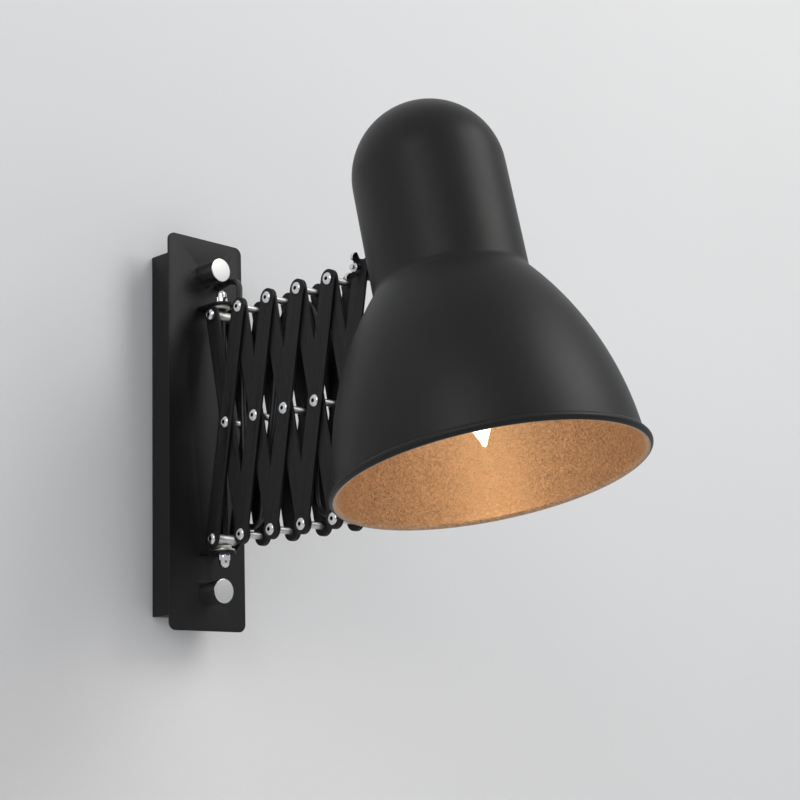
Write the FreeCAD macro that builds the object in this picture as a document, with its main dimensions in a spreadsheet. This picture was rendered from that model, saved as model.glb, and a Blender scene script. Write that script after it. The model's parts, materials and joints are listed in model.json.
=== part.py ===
"""Accordion wall lamp: a slim wall box, a scissor lattice of flat links, and a bell shade.

Frame: millimetres. The wall is the plane Y = 0 and the lamp stands out along -Y, +Z is up
and +X is to the right of someone facing the wall. The origin is the centre of the wall
strap's back face. The lattice lies in the plane X = 0, between a near (-X) and a far (+X)
row of links.
"""
import FreeCAD
import Part
import Sketcher
import math
import os

Vector = FreeCAD.Vector
Rotation = FreeCAD.Rotation
Placement = FreeCAD.Placement

# ---------------------------------------------------------------- driving sizes, in mm
SIZES = [
    # wall box and front plate
    ("plate_width", 72.0), ("plate_height", 300.0), ("plate_thickness", 1.6),
    ("plate_corner", 6.0), ("plate_standoff", 32.5),
    ("box_width", 53.0), ("box_height", 276.4), ("box_wall", 1.2),
    # mounting strap, its studs and the two thumb nuts
    ("strap_width", 22.0), ("strap_length", 262.0), ("strap_thickness", 2.0),
    ("slot_width", 5.0), ("slot_length", 12.0), ("slot_spacing", 88.0),
    ("wire_hole", 12.0), ("wire_hole_drop", 22.0),
    ("stud_spacing", 244.0), ("stud_diameter", 4.0), ("stud_grip", 11.0),
    ("thumb_diameter", 18.0), ("thumb_length", 18.2), ("thumb_chamfer", 0.5),
    ("thumb_bore_depth", 13.0), ("stud_clearance", 0.25), ("thread_clearance", 0.05),
    # terminal block
    ("terminal_width", 20.0), ("terminal_height", 26.0), ("terminal_depth", 12.0),
    ("terminal_bore", 3.0), ("terminal_rise", 20.0), ("terminal_poles", 3.0),
    # upright guide rod, its tabs, washers and cap nuts
    ("rod_standoff", 51.0), ("rod_diameter", 6.0), ("rod_end_diameter", 5.0),
    ("tab_width", 16.0), ("tab_thickness", 2.2), ("tab_overhang", 9.0),
    ("steel_washer_diameter", 16.0), ("steel_washer_thickness", 1.5),
    ("nylon_washer_diameter", 12.0), ("nylon_washer_thickness", 2.2),
    ("bush_diameter", 11.0), ("bush_thickness", 2.5), ("collar_slack", 2.05),
    ("nut_flats", 8.0), ("nut_hex_height", 5.0), ("nut_height", 10.4),
    ("nut_dome_diameter", 7.5), ("rod_end_length", 6.5),
    # scissor lattice
    ("link_pitch", 172.2), ("link_width", 14.2), ("link_thickness", 1.8),
    ("fold_angle", 10.7), ("inner_face", 8.1), ("layer_gap", 0.15),
    ("pivot_diameter", 3.8), ("running_clearance", 0.06), ("spacer_diameter", 5.2),
    ("screw_head_diameter", 9.0), ("screw_head_height", 1.8), ("screw_grip", 4.5),
    ("collar_screw_grip", 3.2), ("collar_diameter", 8.5),
    # head pivot, wing nut and shade bracket
    ("bolt_tail", 8.5), ("wing_base_diameter", 8.0), ("wing_top_diameter", 6.4),
    ("wing_base_height", 5.5), ("wing_span", 21.0), ("wing_rise", 10.5), ("wing_thickness", 2.2),
    ("wing_lobe", 3.15), ("wing_root", 0.6), ("wing_heel", 0.4), ("wing_turn", 25.0),
    ("head_reach", 66.6), ("head_tilt", 11.65),
    ("eye_diameter", 13.0), ("bracket_thickness", 2.5), ("bracket_height", 34.0),
    ("bracket_width", 15.0), ("rivet_spacing", 23.0), ("rivet_diameter", 4.0),
    ("rivet_head_diameter", 7.5), ("rivet_head_height", 1.6),
    # bell shade
    ("shade_wall", 1.2), ("rim_radius", 100.2), ("bead_radius", 2.7), ("bell_curve", 225.6),
    ("shoulder_height", 131.8), ("shoulder_fillet", 10.0), ("neck_radius", 52.6),
    ("dome_height", 214.3),
    # lampholder and lamp
    ("shelf_rise", 6.0), ("shelf_thickness", 1.6), ("shelf_width", 22.0),
    ("nipple_diameter", 10.0), ("nipple_bore", 6.5), ("nipple_length", 16.0), ("nipple_stand", 1.0),
    ("nipple_nut_diameter", 15.0), ("nipple_nut_height", 3.5),
    ("holder_diameter", 27.0), ("holder_cap_diameter", 22.0), ("holder_height", 54.0),
    ("holder_skirt", 30.0), ("holder_cone", 3.0), ("cap_diameter", 14.0), ("cap_length", 22.0),
    ("cap_taper", 4.4), ("cap_contact", 4.7), ("bulb_diameter", 35.0), ("bulb_length", 76.0),
    ("bulb_neck_diameter", 13.0), ("bulb_tip_length", 14.0), ("bulb_tip_diameter", 12.0),
    ("bulb_widest", 43.0), ("bulb_body_curve", 45.5), ("bulb_tip_curve", 52.5),
    # supply cord and its two bushings
    ("cord_diameter", 4.6), ("gland_side", 14.0), ("gland_height", 117.0),
    ("gland_hole", 7.0), ("gland_flange", 9.6), ("gland_nose", 9.0), ("gland_tip", 6.2),
    ("flange_thickness", 1.4), ("inlet_rise", 11.2), ("bushing_seat", 0.3), ("bracket_gap", 13.2),
    ("cord_clearance", 0.1),
]
# heights in the head's frame that follow from the sizes above: the neck's pieces stand on the shoulder
FOLLOWING = [
    ("inlet_height", "=shoulder_height + inlet_rise"),
    ("shelf_height", "=inlet_height + shelf_rise"),
    ("head_rise", "=inlet_height + bracket_gap + bracket_height / 2"),
]
CELLS = 5                                  # crossings along the lattice
NEAR_FAR = (("near", -1), ("far", 1))      # the two rows of links, on -X and on +X

doc = FreeCAD.newDocument("AccordionWallLamp")
sheet = doc.addObject("Spreadsheet::Sheet", "Sizes")
for line, (alias, amount) in enumerate(SIZES + FOLLOWING, 1):
    sheet.set(f"A{line}", alias)
    sheet.set(f"B{line}", str(amount))
    sheet.setAlias(f"B{line}", alias)
doc.recompute()

nodes = {}                                 # node name: the object whose Shape is written


def value(expression):
    """The number that an expression on the sheet's aliases gives."""
    return float(sheet.evalExpression(expression))


def size(alias):
    """One driving size."""
    return value(f"Sizes.{alias}")


def keep(node, thing, place=None):
    """Labels a finished sub-part, sets where it stands and keeps it as a node."""
    thing.Label = node
    if place is not None:
        thing.Placement = place
    nodes[node] = thing
    return thing


# ---------------------------------------------------------------- ways of making a piece
def new_sketch(body, role):
    """An empty sketch on one of a body's own origin planes."""
    sketch = body.newObject("Sketcher::SketchObject", f"{body.Name}_sketch")
    plane = next(f for f in body.Origin.OriginFeatures if f.Role == role)
    sketch.AttachmentSupport = [(plane, "")]
    sketch.MapMode = "FlatFace"
    return sketch


def add_edge(sketch, start, end, curve):
    """A line, or an arc of curve = (radius, +1 to bulge left or -1 to bulge right)."""
    if curve is None:
        return sketch.addGeometry(Part.LineSegment(start, end), False), 1, 2
    radius = value(curve[0])
    chord = end - start
    left = Vector(-chord.y, chord.x, 0) / chord.Length
    sagitta_arm = math.sqrt(max(radius ** 2 - chord.Length ** 2 / 4, 0.0))
    circle = Part.Circle((start + end) / 2 - left * (sagitta_arm * curve[1]), Vector(0, 0, 1), radius)
    first, last = circle.parameter(start), circle.parameter(end)
    if curve[1] > 0:
        return sketch.addGeometry(Part.ArcOfCircle(circle, last, first), False), 2, 1
    return sketch.addGeometry(Part.ArcOfCircle(circle, first, last), False), 1, 2


def outline(sketch, corners):
    """A closed outline. A corner is (x, y) or (x, y, radius, side): the edge that leads to it
    is then an arc. Each corner and radius is bound to its expression on the sheet."""
    points = [Vector(value(c[0]), value(c[1]), 0) for c in corners]
    edges = []
    for i, corner in enumerate(corners):
        curve = corner[2:] if len(corner) > 2 else None
        edges.append(add_edge(sketch, points[i - 1], points[i], curve))
    for i, corner in enumerate(corners):
        edge, _, tail = edges[i]
        following, head, _ = edges[(i + 1) % len(edges)]
        sketch.addConstraint(Sketcher.Constraint("Coincident", edge, tail, following, head))
        for kind, expression, amount in (("DistanceX", corner[0], points[i].x),
                                         ("DistanceY", corner[1], points[i].y)):
            bound = Sketcher.Constraint(kind, -1, 1, edge, tail, amount)
            sketch.setExpression(f"Constraints[{sketch.addConstraint(bound)}]", expression)
        if len(corner) > 2:
            half_round = abs((points[i] - points[i - 1]).Length - 2 * value(corner[2])) < 0.001
            bound = Sketcher.Constraint("Radius", edge, value(corner[2]))
            if half_round:
                bound = Sketcher.Constraint("DistanceY", -1, 1, edge, 3, points[i].y)
            rule = corner[1] if half_round else corner[2]
            sketch.setExpression(f"Constraints[{sketch.addConstraint(bound)}]", rule)


def hole(sketch, x, y, radius):
    """A round hole in a sketch, its centre and radius bound to the sheet."""
    centre = Vector(value(x), value(y), 0)
    circle = sketch.addGeometry(Part.Circle(centre, Vector(0, 0, 1), value(radius)), False)
    for constraint, expression in (
            (Sketcher.Constraint("DistanceX", -1, 1, circle, 3, centre.x), x),
            (Sketcher.Constraint("DistanceY", -1, 1, circle, 3, centre.y), y),
            (Sketcher.Constraint("Radius", circle, value(radius)), radius)):
        sketch.setExpression(f"Constraints[{sketch.addConstraint(constraint)}]", expression)


def padded(name, corners, holes, length):
    """A body padded along +Z from an outline in XY, with round holes right through."""
    body = doc.addObject("PartDesign::Body", name)
    sketch = new_sketch(body, "XY_Plane")
    outline(sketch, corners)
    for centre in holes:
        hole(sketch, *centre)
    pad = body.newObject("PartDesign::Pad", f"{name}_pad")
    pad.Profile = sketch
    pad.setExpression("Length", length)
    return body


def turned(name, corners):
    """A body turned about +Z from an outline of (radius, height) corners."""
    body = doc.addObject("PartDesign::Body", name)
    sketch = new_sketch(body, "XZ_Plane")
    outline(sketch, corners)
    revolve = body.newObject("PartDesign::Revolution", f"{name}_turn")
    revolve.Profile = sketch
    revolve.ReferenceAxis = (sketch, ["V_Axis"])
    revolve.Angle = 360.0
    return body


def ring(name, outer, inner, height):
    """A plain tube or washer that stands on XY: radii and height are expressions."""
    return turned(name, [(inner, "0"), (outer, "0"), (outer, height), (inner, height)])


def bound(kind, name, place=None, **properties):
    """A Part primitive whose properties are bound to expressions on the sheet."""
    thing = doc.addObject(kind, name)
    for prop, expression in properties.items():
        thing.setExpression(prop, expression)
    if place is not None:
        thing.Placement = place
    return thing


def rod(name, radius, length, place=None):
    return bound("Part::Cylinder", name, place, Radius=radius, Height=length)


def cut(name, base, tool):
    result = doc.addObject("Part::Cut", name)
    result.Base = base
    result.Tool = tool
    return result


def fuse(name, pieces):
    result = doc.addObject("Part::MultiFuse", name)
    result.Shapes = pieces
    result.Refine = True
    return result


def group(node, master, places):
    """One node that holds a copy of a master piece at each of its places."""
    doc.recompute()
    copies = []
    for place in places:
        copy = master.Shape.copy()
        copy.Placement = place
        copies.append(copy)
    holder = doc.addObject("Part::Feature", node)
    holder.Shape = Part.makeCompound(copies)
    return keep(node, holder)


# ---------------------------------------------------------------- directions and key places
UPRIGHT = Rotation()
OUTWARD = Rotation(Vector(1, 0, 0), 90)        # a piece's +Z points out of the wall, its +Y up
TO_FAR = Rotation(Vector(0, 1, 0), 90)         # a piece's +Z points along +X
TO_NEAR = Rotation(Vector(0, 1, 0), -90)       # a piece's +Z points along -X
LINK_PLANE = Rotation(Vector(1, 1, 1), 120)    # a piece's +Y points up and its +Z along +X
FACING = {-1: TO_NEAR, 1: TO_FAR}

fold = math.radians(size("fold_angle"))
column_pitch = size("link_pitch") * math.sin(fold)
half_height = size("link_pitch") * math.cos(fold) / 2


def lattice_point(column, level):
    """A pivot of the lattice: level is +1 for the top row, 0 the middle and -1 the bottom."""
    return Vector(0, -size("rod_standoff") - column * column_pitch, level * half_height)


HEAD_PIVOT = lattice_point(CELLS, 1)
HEAD_TURN = Rotation(Vector(1, 0, 0), -size("head_tilt"))
SHADE_RIM = HEAD_PIVOT - HEAD_TURN.multVec(Vector(0, size("head_reach"), size("head_rise")))


def in_head(x, y, z, turn=UPRIGHT):
    """A place in the head's own frame: the rim's centre, with +Z up the shade's axis."""
    return Placement(SHADE_RIM + HEAD_TURN.multVec(Vector(x, y, z)), HEAD_TURN.multiply(turn))


# ---------------------------------------------------------------- wall box and its fixings
def make_wall_box():
    """Four folded walls between the wall and the back of the front plate."""
    outer = bound("Part::Box", "box_outer", Length="Sizes.box_width", Width="Sizes.box_height",
                  Height="Sizes.plate_standoff - Sizes.plate_thickness")
    inner = bound("Part::Box", "box_inner", Length="Sizes.box_width - 2 * Sizes.box_wall",
                  Width="Sizes.box_height - 2 * Sizes.box_wall",
                  Height="Sizes.plate_standoff - Sizes.plate_thickness")
    inner.setExpression(".Placement.Base.x", "Sizes.box_wall")
    inner.setExpression(".Placement.Base.y", "Sizes.box_wall")
    corner = Vector(-size("box_width") / 2, 0, -size("box_height") / 2)
    keep("wall_box", cut("wall_box", outer, inner), Placement(corner, OUTWARD))


def make_front_plate():
    """The flat plate with rounded corners, two stud holes and the cord's hole."""
    w, h, c = "Sizes.plate_width / 2", "Sizes.plate_height / 2", "Sizes.plate_corner"
    corners = [(w, f"{c} - {h}"), (w, f"{h} - {c}"), (f"{w} - {c}", h, c, -1),
               (f"{c} - {w}", h), (f"-({w})", f"{h} - {c}", c, -1), (f"-({w})", f"{c} - {h}"),
               (f"{c} - {w}", f"-({h})", c, -1), (f"{w} - {c}", f"-({h})")]
    corners[0] = corners[0] + (c, -1)
    stud = "Sizes.stud_diameter / 2 + Sizes.stud_clearance"
    holes = [("0", "Sizes.stud_spacing / 2", stud), ("0", "-Sizes.stud_spacing / 2", stud),
             ("Sizes.gland_side", "Sizes.gland_height", "Sizes.gland_hole / 2")]
    body = padded("front_plate", corners, holes, "Sizes.plate_thickness")
    back = Vector(0, size("plate_thickness") - size("plate_standoff"), 0)
    keep("front_plate", body, Placement(back, OUTWARD))


def make_mounting_strap():
    """The flat steel strap on the wall: two screw slots, a wire hole and two stud holes."""
    w, h = "Sizes.strap_width / 2", "Sizes.strap_length / 2"
    stud = "Sizes.stud_diameter / 2 + Sizes.thread_clearance"
    holes = [("0", "Sizes.stud_spacing / 2", stud), ("0", "-Sizes.stud_spacing / 2", stud),
             ("0", "-Sizes.wire_hole_drop", "Sizes.wire_hole / 2")]
    flat = padded("strap_flat", [(w, f"-({h})"), (w, h), (f"-({w})", h), (f"-({w})", f"-({h})")],
                  holes, "Sizes.strap_thickness")
    slots = []
    for side in ("", "-"):
        r = "Sizes.slot_width / 2"
        low = f"{side}Sizes.slot_spacing / 2 - Sizes.slot_length / 2 + {r}"
        high = f"{side}Sizes.slot_spacing / 2 + Sizes.slot_length / 2 - {r}"
        corners = [(r, low, r, -1), (r, high), (f"-{r}", high, r, -1), (f"-{r}", low)]
        slots.append(padded("strap_slot", corners, [], "Sizes.strap_thickness"))
    keep("mounting_strap", cut("mounting_strap", flat, fuse("strap_slots", slots)),
         Placement(Vector(0, 0, 0), OUTWARD))


def make_studs_and_thumb_nuts():
    """Two studs that stand out of the strap, and the round nuts that hold the plate on them."""
    stud_length = "Sizes.plate_standoff + Sizes.stud_grip"
    stud = rod("plate_stud", "Sizes.stud_diameter / 2", stud_length)
    bore = "Sizes.stud_diameter / 2 + Sizes.thread_clearance"
    r, c, end = "Sizes.thumb_diameter / 2", "Sizes.thumb_chamfer", "Sizes.thumb_length"
    nut = turned("thumb_nut", [(bore, "0"), (r, "0"), (r, f"{end} - {c}"), (f"{r} - {c}", end),
                               ("0", end), ("0", "Sizes.thumb_bore_depth"),
                               (bore, "Sizes.thumb_bore_depth")])
    heights = [size("stud_spacing") / 2, -size("stud_spacing") / 2]
    group("plate_studs", stud, [Placement(Vector(0, 0, z), OUTWARD) for z in heights])
    front = -size("plate_standoff")
    group("thumb_nuts", nut, [Placement(Vector(0, front, z), OUTWARD) for z in heights])


def make_terminal_block():
    """A small block with a row of wire holes, on the strap above its wire hole."""
    poles = int(size("terminal_poles"))
    block = bound("Part::Box", "terminal_body", Length="Sizes.terminal_width",
                  Width="Sizes.terminal_height", Height="Sizes.terminal_depth")
    bores = []
    for pole in range(poles):
        bore = rod("terminal_wire_hole", "Sizes.terminal_bore / 2", "Sizes.terminal_height",
                   Placement(Vector(), Rotation(Vector(1, 0, 0), -90)))
        bore.setExpression(".Placement.Base.x", f"Sizes.terminal_width * {pole + 0.5} / {poles}")
        bore.setExpression(".Placement.Base.z", "Sizes.terminal_depth / 2")
        bores.append(bore)
    corner = Vector(-size("terminal_width") / 2, -size("strap_thickness"), size("terminal_rise"))
    keep("terminal_block", cut("terminal_block", block, fuse("terminal_bores", bores)),
         Placement(corner, OUTWARD))


# ---------------------------------------------------------------- guide rod between two tabs
upper_tab_seat = half_height + sum(size(a) for a in (
    "collar_slack", "nylon_washer_thickness")) + size("collar_diameter") / 2
lower_tab_seat = -half_height - sum(size(a) for a in (
    "bush_thickness", "steel_washer_thickness")) - size("collar_diameter") / 2


def on_rod(z, turn=UPRIGHT):
    """A place on the guide rod's axis."""
    return Placement(Vector(0, -size("rod_standoff"), z), turn)


def make_tabs():
    """Two round-ended tabs that stand out of the front plate and hold the rod's ends."""
    r = "Sizes.tab_width / 2"
    root = "Sizes.rod_standoff - Sizes.plate_standoff"
    tip = "Sizes.tab_overhang - Sizes.tab_width / 2"
    corners = [(f"-{r}", f"-({tip})"), (r, f"-({tip})", r, -1), (r, root), (f"-{r}", root)]
    holes = [("0", "0", "Sizes.rod_end_diameter / 2 + Sizes.thread_clearance")]
    for node, seat in (("upper_tab", upper_tab_seat), ("lower_tab", lower_tab_seat - size("tab_thickness"))):
        keep(node, padded(node, corners, holes, "Sizes.tab_thickness"), on_rod(seat))


def make_guide_rod():
    """The upright rod: a full-size middle between the tabs and a thinner threaded end each way."""
    r, e = "Sizes.rod_diameter / 2", "Sizes.rod_end_diameter / 2"
    tail = "Sizes.rod_end_length + Sizes.tab_thickness"
    span = f"{upper_tab_seat - lower_tab_seat}"
    body = turned("guide_rod", [("0", f"-({tail})"), (e, f"-({tail})"), (e, "0"), (r, "0"), (r, span),
                                (e, span), (e, f"{span} + {tail}"), ("0", f"{span} + {tail}")])
    keep("guide_rod", body, on_rod(lower_tab_seat))


def make_cap_nuts():
    """Domed cap nuts on the rod's ends, outside the tabs."""
    corner = "Sizes.nut_flats / 2 / cos(30)"
    hexagon = bound("Part::Prism", "nut_hexagon", Circumradius=corner, Height="Sizes.nut_hex_height")
    hexagon.Polygon = 6
    dome_radius = "Sizes.nut_dome_diameter / 2"
    shoulder = f"Sizes.nut_height - {dome_radius}"
    dome = turned("nut_dome", [("0", "Sizes.nut_hex_height / 2"), (dome_radius, "Sizes.nut_hex_height / 2"),
                               (dome_radius, shoulder), ("0", "Sizes.nut_height", dome_radius, -1)])
    bore = rod("nut_bore", "Sizes.rod_end_diameter / 2 + Sizes.thread_clearance",
               "Sizes.rod_end_length + Sizes.thread_clearance")
    nut = cut("cap_nut", fuse("nut_outside", [hexagon, dome]), bore)
    upside_down = Rotation(Vector(1, 0, 0), 180)
    group("cap_nuts", nut, [on_rod(upper_tab_seat + size("tab_thickness")),
                            on_rod(lower_tab_seat - size("tab_thickness"), upside_down)])


def make_rod_washers():
    """Steel washer and nylon bush under the lower collar, nylon washer over the upper one."""
    bore = "Sizes.rod_diameter / 2 + Sizes.running_clearance"
    keep("steel_washer", ring("steel_washer", "Sizes.steel_washer_diameter / 2", bore,
                              "Sizes.steel_washer_thickness"), on_rod(lower_tab_seat))
    bush = ring("nylon_bush", "Sizes.bush_diameter / 2", bore, "Sizes.bush_thickness")
    washer = ring("nylon_washer", "Sizes.nylon_washer_diameter / 2", bore, "Sizes.nylon_washer_thickness")
    bush.Placement = on_rod(lower_tab_seat + size("steel_washer_thickness"))
    washer.Placement = on_rod(upper_tab_seat - size("nylon_washer_thickness"))
    pair = doc.addObject("Part::Compound", "nylon_washers")
    pair.Links = [bush, washer]
    keep("nylon_washers", pair)


# ---------------------------------------------------------------- scissor lattice
inner_layer = size("inner_face")
outer_layer = inner_layer + size("link_thickness") + size("layer_gap")
outer_face = outer_layer + size("link_thickness")
PIVOT_HOLE = "Sizes.pivot_diameter / 2 + Sizes.running_clearance"


def link_place(foot, lean, layer, side):
    """Where a link stands: its foot pivot, its lean and its layer on one side."""
    start = layer if side > 0 else -layer - size("link_thickness")
    turn = Rotation(Vector(1, 0, 0), lean * size("fold_angle")).multiply(LINK_PLANE)
    return Placement(foot + Vector(start, 0, 0), turn)


def make_link(node, foot, lean, layer, side):
    """A flat link with round ends and three pivot holes."""
    r, top = "Sizes.link_width / 2", "Sizes.link_pitch"
    corners = [(f"-{r}", "0"), (r, "0", r, -1), (r, top), (f"-{r}", top, r, -1)]
    holes = [("0", "0", PIVOT_HOLE), ("0", top, PIVOT_HOLE), ("0", "Sizes.link_pitch / 2", PIVOT_HOLE)]
    keep(node, padded(node, corners, holes, "Sizes.link_thickness"), link_place(foot, lean, layer, side))


def make_links():
    """Rising links in the outer layers, falling links in the inner ones. The last falling
    link is a short pair that ends at the middle row, clear of the shade."""
    for k in range(CELLS):
        for row, side in NEAR_FAR:
            make_link(f"rising_link_{k + 1}_{row}", lattice_point(k, -1), 1, outer_layer, side)
            if k < CELLS - 1:
                make_link(f"falling_link_{k + 1}_{row}", lattice_point(k + 1, -1), -1, inner_layer, side)
    r, top = "Sizes.link_width / 2", "Sizes.link_pitch / 2"
    short = padded("short_link", [(f"-{r}", "0"), (r, "0", r, -1), (r, top), (f"-{r}", top, r, -1)],
                   [("0", "0", PIVOT_HOLE), ("0", top, PIVOT_HOLE)], "Sizes.link_thickness")
    foot = lattice_point(CELLS - 0.5, 0)
    group("falling_link_5", short, [link_place(foot, -1, inner_layer, side) for _, side in NEAR_FAR])


def screw_master(name, grip):
    """A low-headed pivot screw: its head stands on XY and its shank hangs below."""
    r, h = "Sizes.screw_head_diameter / 2", "Sizes.screw_head_height"
    shank = "Sizes.pivot_diameter / 2"
    tail = f"-({grip} + 2 * Sizes.link_thickness + Sizes.layer_gap)"
    return turned(name, [("0", tail), (shank, tail), (shank, "0"), (r, "0"), (r, f"{h} / 2"),
                         (f"{r} - {h}", h), ("0", h)])


def spacer_master():
    """The tube that keeps the near and far links apart, along +Z from one end to the other."""
    return ring("pivot_spacer", "Sizes.spacer_diameter / 2", PIVOT_HOLE,
                "2 * (Sizes.inner_face - Sizes.layer_gap)")


def screw_places(points):
    """Both ends of each pivot, with the head on the outer link."""
    return [Placement(point + Vector(side * outer_face, 0, 0), FACING[side])
            for point in points for _, side in NEAR_FAR]


def hardware_of(k):
    """The pivots whose screws and spacer turn with rising link k."""
    pivots = [lattice_point(k + 0.5, 0)]
    if k > 0:
        pivots.append(lattice_point(k, -1))
    if k < CELLS - 1:
        pivots.append(lattice_point(k + 1, 1))
    return pivots


def make_pivot_hardware():
    """Spacers and screws of the lattice's pivots, grouped by the link that carries them."""
    screw, spacer = screw_master("pivot_screw", "Sizes.screw_grip"), spacer_master()
    short = screw_master("collar_screw", "Sizes.collar_screw_grip")
    spacer_end = Vector(size("layer_gap") - inner_layer, 0, 0)
    for k in range(CELLS):
        pivots = hardware_of(k)
        group(f"pivot_spacers_{k + 1}", spacer, [Placement(p + spacer_end, TO_FAR) for p in pivots])
        group(f"pivot_screws_{k + 1}", screw, screw_places(pivots))
    group("lower_collar_screws", short, screw_places([lattice_point(0, -1)]))
    group("upper_collar_screws", short, screw_places([lattice_point(0, 1)]))


def make_collar(node, point, half_length):
    """A cross bar that slides and turns on the rod and carries a link at each end."""
    body = rod(f"{node}_bar", "Sizes.collar_diameter / 2", f"2 * ({half_length})")
    ends = rod(f"{node}_screw_bore", PIVOT_HOLE, f"2 * ({half_length})")
    across = rod(f"{node}_rod_bore", "Sizes.rod_diameter / 2 + Sizes.running_clearance",
                 "Sizes.collar_diameter", Placement(Vector(), Rotation(Vector(0, 1, 0), 90)))
    across.setExpression(".Placement.Base.x", "-Sizes.collar_diameter / 2")
    across.setExpression(".Placement.Base.z", half_length)
    collar = cut(node, body, fuse(f"{node}_bores", [ends, across]))
    keep(node, collar, Placement(point - Vector(value(half_length), 0, 0), TO_FAR))


def make_collars():
    """The lower collar reaches the outer links; the upper one the inner links, with a washer
    between each inner link and its screw's head."""
    make_collar("lower_collar", lattice_point(0, -1),
                "Sizes.inner_face + Sizes.link_thickness")
    make_collar("upper_collar", lattice_point(0, 1), "Sizes.inner_face - Sizes.layer_gap")
    washer = ring("collar_washer", "Sizes.pivot_diameter", PIVOT_HOLE,
                  "Sizes.link_thickness")
    places = []
    for _, side in NEAR_FAR:
        places.append(Placement(lattice_point(0, 1) + Vector(side * outer_layer, 0, 0), FACING[side]))
    group("upper_collar_washers", washer, places)


# ---------------------------------------------------------------- head pivot
def make_pivot_bolt():
    """The long screw through both last links and the bracket's eye, headed on the far side."""
    r, h = "Sizes.screw_head_diameter / 2", "Sizes.screw_head_height"
    shank = "Sizes.pivot_diameter / 2"
    tail = f"-({2 * outer_face} + Sizes.bolt_tail)"
    body = turned("head_pivot_bolt", [("0", tail), (shank, tail), (shank, "0"), (r, "0"),
                                      (r, f"{h} / 2"), (f"{r} - {h}", h), ("0", h)])
    keep("head_pivot_bolt", body, Placement(HEAD_PIVOT + Vector(outer_face, 0, 0), TO_FAR))


def make_wing_nut():
    """A tapered boss with two rounded wings, on the near side."""
    base = turned("wing_boss", [(PIVOT_HOLE, "0"), ("Sizes.wing_base_diameter / 2", "0"),
                                ("Sizes.wing_top_diameter / 2", "Sizes.wing_base_height"),
                                (PIVOT_HOLE, "Sizes.wing_base_height")])
    wings = []
    for side in ("", "-"):
        lobe = "Sizes.wing_lobe"
        tip = f"(Sizes.wing_span / 2 - {lobe})"
        inner = "Sizes.wing_top_diameter / 2 - Sizes.wing_root"
        heel = "Sizes.wing_base_diameter / 2 + Sizes.wing_heel"
        sweep = -1 if side == "" else 1
        corners = [(f"{side}({inner})", "Sizes.wing_root"), (f"{side}({heel})", "Sizes.wing_root"),
                   (f"{side}({tip} + {lobe})", f"Sizes.wing_rise - {lobe}"),
                   (f"{side}({tip} - {lobe})", f"Sizes.wing_rise - {lobe}", lobe, sweep),
                   (f"{side}({inner})", "Sizes.wing_base_height")]
        wing = padded("wing", corners, [], "Sizes.wing_thickness")
        wing.Placement = Placement(Vector(0, size("wing_thickness") / 2, 0), Rotation(Vector(1, 0, 0), 90))
        wings.append(wing)
    nut = fuse("wing_nut", [base] + wings)
    turn = Rotation(Vector(1, 0, 0), size("wing_turn")).multiply(TO_NEAR)
    keep("wing_nut", nut, Placement(HEAD_PIVOT - Vector(outer_face + size("layer_gap"), 0, 0), turn))


def make_shade_bracket():
    """A flange that fits the neck's curve, with a web out to the eye between the links."""
    middle = f"Sizes.head_rise - Sizes.bracket_height / 2"
    flange = bound("Part::Box", "bracket_flange", Length="Sizes.bracket_width",
                   Width="Sizes.bracket_thickness + Sizes.bead_radius", Height="Sizes.bracket_height")
    flange.setExpression(".Placement.Base.x", "-Sizes.bracket_width / 2")
    flange.setExpression(".Placement.Base.y", "Sizes.neck_radius - Sizes.bead_radius")
    flange.setExpression(".Placement.Base.z", middle)
    half = "(Sizes.inner_face + Sizes.link_thickness)"
    eye = rod("bracket_eye", "Sizes.eye_diameter / 2", f"2 * {half}", Placement(Vector(), TO_FAR))
    web = bound("Part::Box", "bracket_web", Length=f"2 * {half}",
                Width="Sizes.head_reach - Sizes.neck_radius + Sizes.bead_radius",
                Height="Sizes.eye_diameter")
    web.setExpression(".Placement.Base.x", f"-{half}")
    web.setExpression(".Placement.Base.y", "Sizes.neck_radius - Sizes.bead_radius")
    web.setExpression(".Placement.Base.z", "Sizes.head_rise - Sizes.eye_diameter / 2")
    bore = rod("bracket_bore", PIVOT_HOLE, f"2 * {half}", Placement(Vector(), TO_FAR))
    for thing in (eye, bore):
        thing.setExpression(".Placement.Base.x", f"-{half}")
        thing.setExpression(".Placement.Base.y", "Sizes.head_reach")
        thing.setExpression(".Placement.Base.z", "Sizes.head_rise")
    neck = rod("bracket_neck_cut", "Sizes.neck_radius", "2 * Sizes.bracket_height")
    neck.setExpression(".Placement.Base.z", "Sizes.head_rise - Sizes.bracket_height")
    tools = [bore, neck] + rivet_bores("Sizes.neck_radius - Sizes.bead_radius", "Sizes.head_reach")
    bracket = cut("shade_bracket", fuse("bracket_solid", [flange, eye, web]), fuse("bracket_cuts", tools))
    keep("shade_bracket", bracket, in_head(0, 0, 0))


ACROSS_WALL = Rotation(Vector(1, 0, 0), -90)       # a piece's +Z points along the head's +Y


def rivet_bores(start, length):
    """Holes for the two rivets, across the neck's wall, in the head's frame."""
    bores = []
    for sign in ("", "-"):
        bore = rod("rivet_bore", "Sizes.rivet_diameter / 2 + Sizes.thread_clearance", length,
                   Placement(Vector(), ACROSS_WALL))
        bore.setExpression(".Placement.Base.y", start)
        bore.setExpression(".Placement.Base.z", f"Sizes.head_rise {sign or '+'} Sizes.rivet_spacing / 2")
        bores.append(bore)
    return bores


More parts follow.
